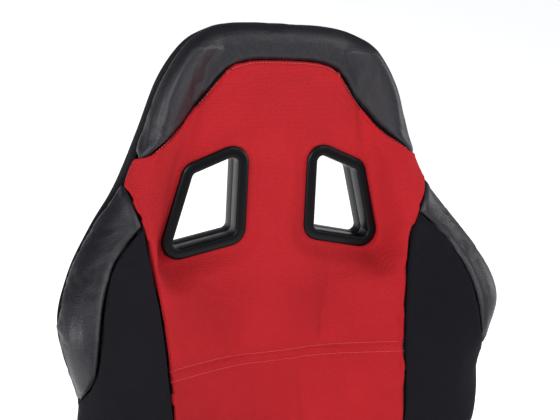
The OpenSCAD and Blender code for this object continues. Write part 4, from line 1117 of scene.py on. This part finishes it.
rear_x, rear_z, rear_depth_w = rear_grid()
rear = on_back(rear_x[:, ::-1], rear_z, rear_depth_w[:, ::-1])
rear = tucked(rear, {"left": 0.7, "right": 0.7, "top": 0.7}, gathers=0.4, seed=61, pitch=20.0, reach=24.0)
calm = smooth((slot_distance(rear_x[:, ::-1], rear_z) - 16) / 20)
rear = raised(rear, 0.7 * calm * Ripple(63)(rear_x / 60 + 20, rear_z / 45))
cx = (rear_x[:-1, :-1] + rear_x[1:, 1:])[:, ::-1] / 2
cz = (rear_z[:-1, :-1] + rear_z[1:, 1:]) / 2
finish_panel(shell("back_rear_cover", rear, rear_cloth, keep=slot_distance(cx, cz) > 7.0), "backrest",
             ["back_rear_panel"])

# %% [markdown]
# ## Slot bezels
# Each harness slot is lined by two moulded frames that meet inside the padding. A frame is one
# rounded profile carried round the slot, so it is lofted: a ring of points for each corner of the
# profile.

# %% Bezels
CORNER = 8.0


def inset_corners(points, inset):
    """Where the centres of a polygon's rounded corners are."""
    out = []
    for k in range(len(points)):
        a, b, c = points[k - 1], points[k], points[(k + 1) % len(points)]
        d1, d2 = (b - a) / np.hypot(*(b - a)), (c - b) / np.hypot(*(c - b))
        n1, n2 = np.array([d1[1], -d1[0]]), np.array([d2[1], -d2[0]])
        out.append(b + inset * (n1 + n2) / (1 + n1 @ n2))
    return np.array(out)


def slot_ring(offset, steps=9):
    """The slot's outline, grown by offset, with round corners."""
    centres = inset_corners(SLOT, CORNER)
    ring = []
    for k, centre in enumerate(centres):
        a, b, c = SLOT[k - 1], SLOT[k], SLOT[(k + 1) % 4]
        start = math.atan2((b - a)[0], -(b - a)[1])
        end = math.atan2((c - b)[0], -(c - b)[1])
        while end > start:
            end -= 2 * math.pi
        for angle in np.linspace(start, end, steps):
            ring.append(centre + (CORNER + offset) * np.array([math.cos(angle), math.sin(angle)]))
    return np.array(ring)


FRONT_BEZEL = [(0.0, -16.6), (0.0, 1.6), (0.35, 3.0), (1.2, 4.0), (2.6, 4.45), (7.0, 4.3), (11.0, 3.75),
               (12.9, 3.0), (13.8, 1.9), (14.0, 0.5), (13.2, -0.9), (2.5, -0.9), (2.5, -16.6)]


def bezel(name, front):
    mesh = bmesh.new()
    for sign in (-1, 1):
        profile = FRONT_BEZEL if front else [(o, -REAR_DEPTH - w) for o, w in FRONT_BEZEL]
        rings = []
        for offset, w in profile:
            ring = slot_ring(offset)
            rings.append([mesh.verts.new(p) for p in on_back(sign * ring[:, 0], ring[:, 1], w)])
        count = len(rings[0])
        for r in range(len(rings)):
            a, b = rings[r], rings[(r + 1) % len(rings)]
            for k in range(count):
                mesh.faces.new((a[k], a[(k + 1) % count], b[(k + 1) % count], b[k]))
    bmesh.ops.recalc_face_normals(mesh, faces=mesh.faces)
    data = bpy.data.meshes.new(name)
    mesh.to_mesh(data)
    data.materials.append(bezel_plastic)
    ob = bpy.data.objects.new(name, data)
    bpy.context.collection.objects.link(ob)
    rounded = ob.modifiers.new("rounded", "BEVEL")
    rounded.width, rounded.segments, rounded.limit_method = 0.35 * MM, 2, "ANGLE"
    rounded.angle_limit = math.radians(38)
    return baked(ob)


for name, front in (("slot_bezel_front_pair", True), ("slot_bezel_rear_pair", False)):
    finish_panel(bezel(name, front), "backrest", ["slot_bezels_front" if front else "slot_bezels_rear"])

# %% [markdown]
# ## The cushion
# The cushion is sewn the same way as the backrest: one height field over the frame, cut by seams
# into a red centre, two fabric bolsters, two leatherette rolls and a front panel, with a plain skirt
# below.

# %% Sizes of the cushion
SEAT_Y0, SEAT_Y1, SEAT_Z, SKIRT_Z, SEAT_EDGE = -272, 148, 212, 76, 30
SEAT_KEYS = [(202, 148), (202, 78), (222, 23), (226, -52), (226, -182), (216, -234), (181, -264), (131, -272),
             (0, -272)]
SEAT_LINE = line_through(SEAT_KEYS, 8)[::-1]
SEAT_WIDTH = [(y, x) for x, y in SEAT_KEYS[-2::-1]]
SEAT_MIDDLE = [(SEAT_Y0, 210), (SEAT_Y0 + 35, 232), (SEAT_Y0 + 90, 242), (SEAT_Y0 + 200, 226),
               (SEAT_Y0 + 320, SEAT_Z), (SEAT_Y1, SEAT_Z)]
SEAT_SIDE = [(SEAT_Y0, 226), (SEAT_Y0 + 60, 284), (SEAT_Y0 + 140, 300), (SEAT_Y0 + 230, 288),
             (SEAT_Y1 - 95, 258), (SEAT_Y1 - 42, 222), (SEAT_Y1, 206)]
FRONT_SEAM, SEAT_SEAM = SEAT_Y0 + 50, -60


def seat_half(y):
    return curve(SEAT_WIDTH, y)


def seat_centre(y):
    return 138 + 12 * smooth((SEAT_Y0 + 200 - y) / 200)


def seat_base(x, y):
    u = np.abs(x) / seat_half(np.maximum(y, SEAT_Y0 + 8))
    return between(curve(SEAT_MIDDLE, y), curve(SEAT_SIDE, y), smooth((u - 0.38) / 0.5))


def seat_top(x, y):
    return seat_base(x, y) - edge_fall(line_distance(np.abs(x), y, SEAT_LINE), SEAT_EDGE)


def seat_sheet(inner, outer, t, wraps=False):
    """A grid between two curves of half widths, from the front seam to the rear edge, where it turns down."""
    y = np.concatenate([FRONT_SEAM + np.array([0, 0.8, 1.8, 3.1, 5.0]),
                        rows_between(FRONT_SEAM + 8, SEAT_Y1 - 2.5, 4.2)])
    x = inner(y)[:, None] + (outer(y) - inner(y))[:, None] * t
    yy = y[:, None] + 0 * x
    z = seat_top(x, yy)
    if wraps:
        cols = over_edge(x[:, -1], y, z[:, -1], np.ones(len(y)), SEAT_LINE)
        x, yy, z = [np.concatenate(pair, axis=1) for pair in zip((x, yy, z), cols)]
    for step, drop in ((2.1, 0.9), (3.0, 3.0), (3.4, 7.0), (3.4, 22.0), (3.4, 50.0), (3.2, 84.0)):
        x, yy = np.vstack([x, x[-1:]]), np.vstack([yy, yy[:1] * 0 + SEAT_Y1 - 2.5 + step])
        z = np.vstack([z, np.maximum(z[len(y) - 1] - drop, 104.0 + 2.0 * (drop < 84))])
    return np.stack([x, yy, z], axis=-1) * MM, x, yy


# %% Cushion centre
seat_t = steps_across(85, 280)
seat, seat_x, seat_y = seat_sheet(lambda y: -seat_centre(y), seat_centre, seat_t)
rows_y = seat_y[:, 0]
grooves = bell(seat_y - SEAT_SEAM - TWIN, 2.6) + bell(seat_y - SEAT_SEAM + TWIN, 2.6)
swell = bell(np.abs(seat_y - SEAT_SEAM) - 17, 11)
seat_rows = [int(np.argmin(np.abs(rows_y - SEAT_SEAM - rise))) for rise in (-TWIN, TWIN)]
seat = bellied(raised(seat, 0.9 * swell - 2.0 * grooves), 3.0, 0.006, 6.0, held=seat_rows)
seat = tucked(seat, {"left": 1.0, "right": 1.0, "bottom": 1.0}, gathers=0.45, seed=81, pitch=16.0, reach=20.0)
seat = raised(seat, 0.6 * Ripple(83)(seat_x / 44 + 30, seat_y / 38 + 30))
seat_cover = shell("cushion_centre_cover", seat, red_seat_cloth, seams=("left", "right", "bottom"))
finish_panel(seat_cover, "seat_base", ["cushion_centre"])
edge_cols = np.linspace(5.0, len(seat_t) - 6.0, 150)
paths = [on_grid(seat, np.full(150, float(r)), edge_cols, 0.25) for r in seat_rows + [4.4]]
seat_stitches = sew("cushion_centre_stitches", paths, red_thread, 3.3, 0.9, 1.0)
finish_panel(seat_stitches, "seat_base", [])

# %% Cushion bolsters and rolls


def seat_roll(y):
    return seat_half(y) - 34


def cushion_panel(name, points, material, slot, fill, pressure, spare, cap, **shape):
    sewn = ("left", "right", "bottom")
    for side, sign in (("left", -1), ("right", 1)):
        own = mirrored(points) if sign < 0 else points
        own = bellied(own, pressure, spare, cap)
        own = tucked(own, dict.fromkeys(sewn, 1.0), **{**shape, "seed": shape["seed"] + sign})
        ob = shell("%s_%s_cover" % (name, side), own, material, seams=sewn)
        finish_panel(ob, "seat_base", ["%s_%s" % (name, side)])


bolster_sheet = seat_sheet(seat_centre, seat_roll, steps_across(20, 50))[0]
cushion_panel("cushion_bolster", bolster_sheet, black_seat_cloth, "black_fabric", 0.7, 3.0, 0.005, 3.5,
              gathers=0.5, seed=91, pitch=16.0, reach=18.0)
roll_sheet = seat_sheet(seat_roll, seat_half, steps_across(14, 34, last=False), True)[0]
cushion_panel("cushion_roll", roll_sheet, leather, "black_leatherette", 0.8, 2.5, 0.005, 2.5,
              gathers=0.6, seed=101, pitch=14.0, reach=15.0)

# %% Cushion front


def front_grid():
    outer = SEAT_LINE[SEAT_LINE[:, 1] < FRONT_SEAM]
    outer = even_steps(np.concatenate([outer, [(seat_half(FRONT_SEAM), FRONT_SEAM)]]), 70)
    inner = np.column_stack([np.linspace(0, seat_half(FRONT_SEAM), 70), np.full(70, float(FRONT_SEAM))])
    inner, outer = [np.concatenate([(half * (-1, 1))[::-1], half[1:]]) for half in (inner, outer)]
    p = outer[:, None] + (inner - outer)[:, None] * steps_across(16, 50, first=False)[None, :, None]
    x, y = p[..., 0], p[..., 1]
    z = seat_top(x, y)
    side = np.where(x[:, 0] == 0, 1e-6, x[:, 0])
    wrap = [c[:, ::-1] for c in over_edge(side, y[:, 0], z[:, 0], np.ones(len(x)), SEAT_LINE)]
    x, y, z = [np.concatenate(pair, axis=1) for pair in zip(wrap, (x, y, z))]
    return np.stack([x, y, z], axis=-1) * MM


front = bellied(front_grid().transpose(1, 0, 2), 3.0, 0.005, 3.0)
front = tucked(front, {"top": 1.0, "bottom": 0.7}, gathers=0.6, seed=111, pitch=15.0, reach=18.0)
finish_panel(shell("cushion_front_cover", front, black_seat_cloth, seams=("top", "bottom")), "seat_base",
             ["cushion_front"])

# %% Skirt


def skirt_grid():
    line = even_steps(SEAT_LINE, 110)
    n = outline_normal(line[:, 0], line[:, 1], SEAT_LINE)
    top = seat_base(np.maximum(line[:, 0], 0.1), line[:, 1]) - SEAT_EDGE
    profile = [(3.6, top - 7.5), (1.4, top - 9.0), (0.5, top - 11.0)]
    for t in np.linspace(0.05, 0.96, 16):
        profile.append((0.4 + 1.8 * math.sin(math.pi * t), between(top - 11, SKIRT_Z + 2, t)))
    profile += [(0.6, top * 0 + SKIRT_Z + 3), (0.9, top * 0 + SKIRT_Z + 0.6), (2.2, top * 0 + SKIRT_Z + 0.3)]
    cols = [(line[:, 0] - inset * n[:, 0], line[:, 1] - inset * n[:, 1], z) for inset, z in profile]
    right = np.stack([np.stack(c, axis=1) for c in zip(*cols)], axis=-1) * MM
    left = right[1:].copy()
    left[..., 0] *= -1
    return np.concatenate([left[::-1], right])[:, ::-1]


skirt = skirt_grid()
spread = np.arange(skirt.shape[0])[:, None] / 6.0 + 0 * skirt[..., 0]
fall = np.linspace(1, 0, skirt.shape[1])[None, :] + 0 * spread
skirt = raised(skirt, 0.9 * smooth(fall * 2.2) * Ripple(121)(spread, fall * 3))
skirt_cover = shell("cushion_skirt_cover", skirt, rear_cloth, thick=2.0)
finish_panel(skirt_cover, "seat_base", ["cushion_skirt"])
hem = on_grid(skirt, np.linspace(2, skirt.shape[0] - 3, 420), np.full(420, 3.4), 0.2)
skirt_stitches = sew("cushion_skirt_stitches", [hem], grey_thread, 3.2, 1.0, 0.8)
finish_panel(skirt_stitches, "seat_base", [])

# %% [markdown]
# ## Hardware
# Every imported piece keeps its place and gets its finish. The pieces with cut edges are replaced by
# copies whose edges are broken with a small bevel, because pressed steel and moulded plastic have no
# sharp corners.

# %% Softened copies


def both(*names):
    """The left and right piece of each name."""
    return [name + side for name in names for side in ("_left", "_right")]


RIGID = {
    black_steel: both("upper_rail", "lower_rail", "side_member") + ["front_cross_tube", "rear_cross_tube"]
    + both("hinge_plate", "recliner_housing") + ["slide_handle_bar"]
    + both("slide_handle_arm", "recliner_arm") + ["back_frame", "back_cross_tubes"] + both("back_bracket"),
    zinc_steel: ["rail_rollers", "slide_stop_pins", "rail_bolts", "hinge_bolts", "drive_shaft"]
    + both("fold_lever") + ["bracket_bolts", "side_cover_screws", "base_springs", "back_springs"],
    cover_plastic: both("side_cover") + ["roller_cages", "glide_pads"],
    grip_rubber: both("hand_wheel") + ["slide_handle_grip"] + both("fold_grip"),
    foam_block: ["cushion_foam", "back_foam"]}
PLAIN = ["base_springs", "back_springs", "back_frame", "cushion_foam", "back_foam", "rail_rollers"]
CUT_EDGE = 0.5
BEVEL = {**dict.fromkeys(both("side_cover"), 2.2), **dict.fromkeys(both("hand_wheel"), 1.6),
         **dict.fromkeys(both("fold_grip"), 1.8), **dict.fromkeys(both("recliner_housing"), 1.5),
         "slide_handle_grip": 2.0}


def softened(node, material, width):
    """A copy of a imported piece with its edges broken."""
    ob = bpy.data.objects.new(node + "_soft", frame["nodes"][node].data.copy())
    bpy.context.collection.objects.link(ob)
    mesh = bmesh.new()
    mesh.from_mesh(ob.data)
    bmesh.ops.remove_doubles(mesh, verts=mesh.verts, dist=2e-6)
    bmesh.ops.dissolve_limit(mesh, angle_limit=math.radians(1.5), verts=mesh.verts, edges=mesh.edges)
    mesh.to_mesh(ob.data)
    mesh.free()
    ob.data.materials.clear()
    ob.data.materials.append(material)
    rounded = ob.modifiers.new("rounded", "BEVEL")
    rounded.width, rounded.segments, rounded.limit_method = width * MM, 2, "ANGLE"
    rounded.angle_limit = math.radians(32)
    return baked(ob)


for material, names in RIGID.items():
    for node in names:
        piece = frame["nodes"][node]
        if node in PLAIN:
            for k in range(len(piece.data.materials)):
                piece.data.materials[k] = material
        else:
            copy = softened(node, material, BEVEL.get(node, CUT_EDGE))
            finish_panel(copy, piece["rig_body"], [node])
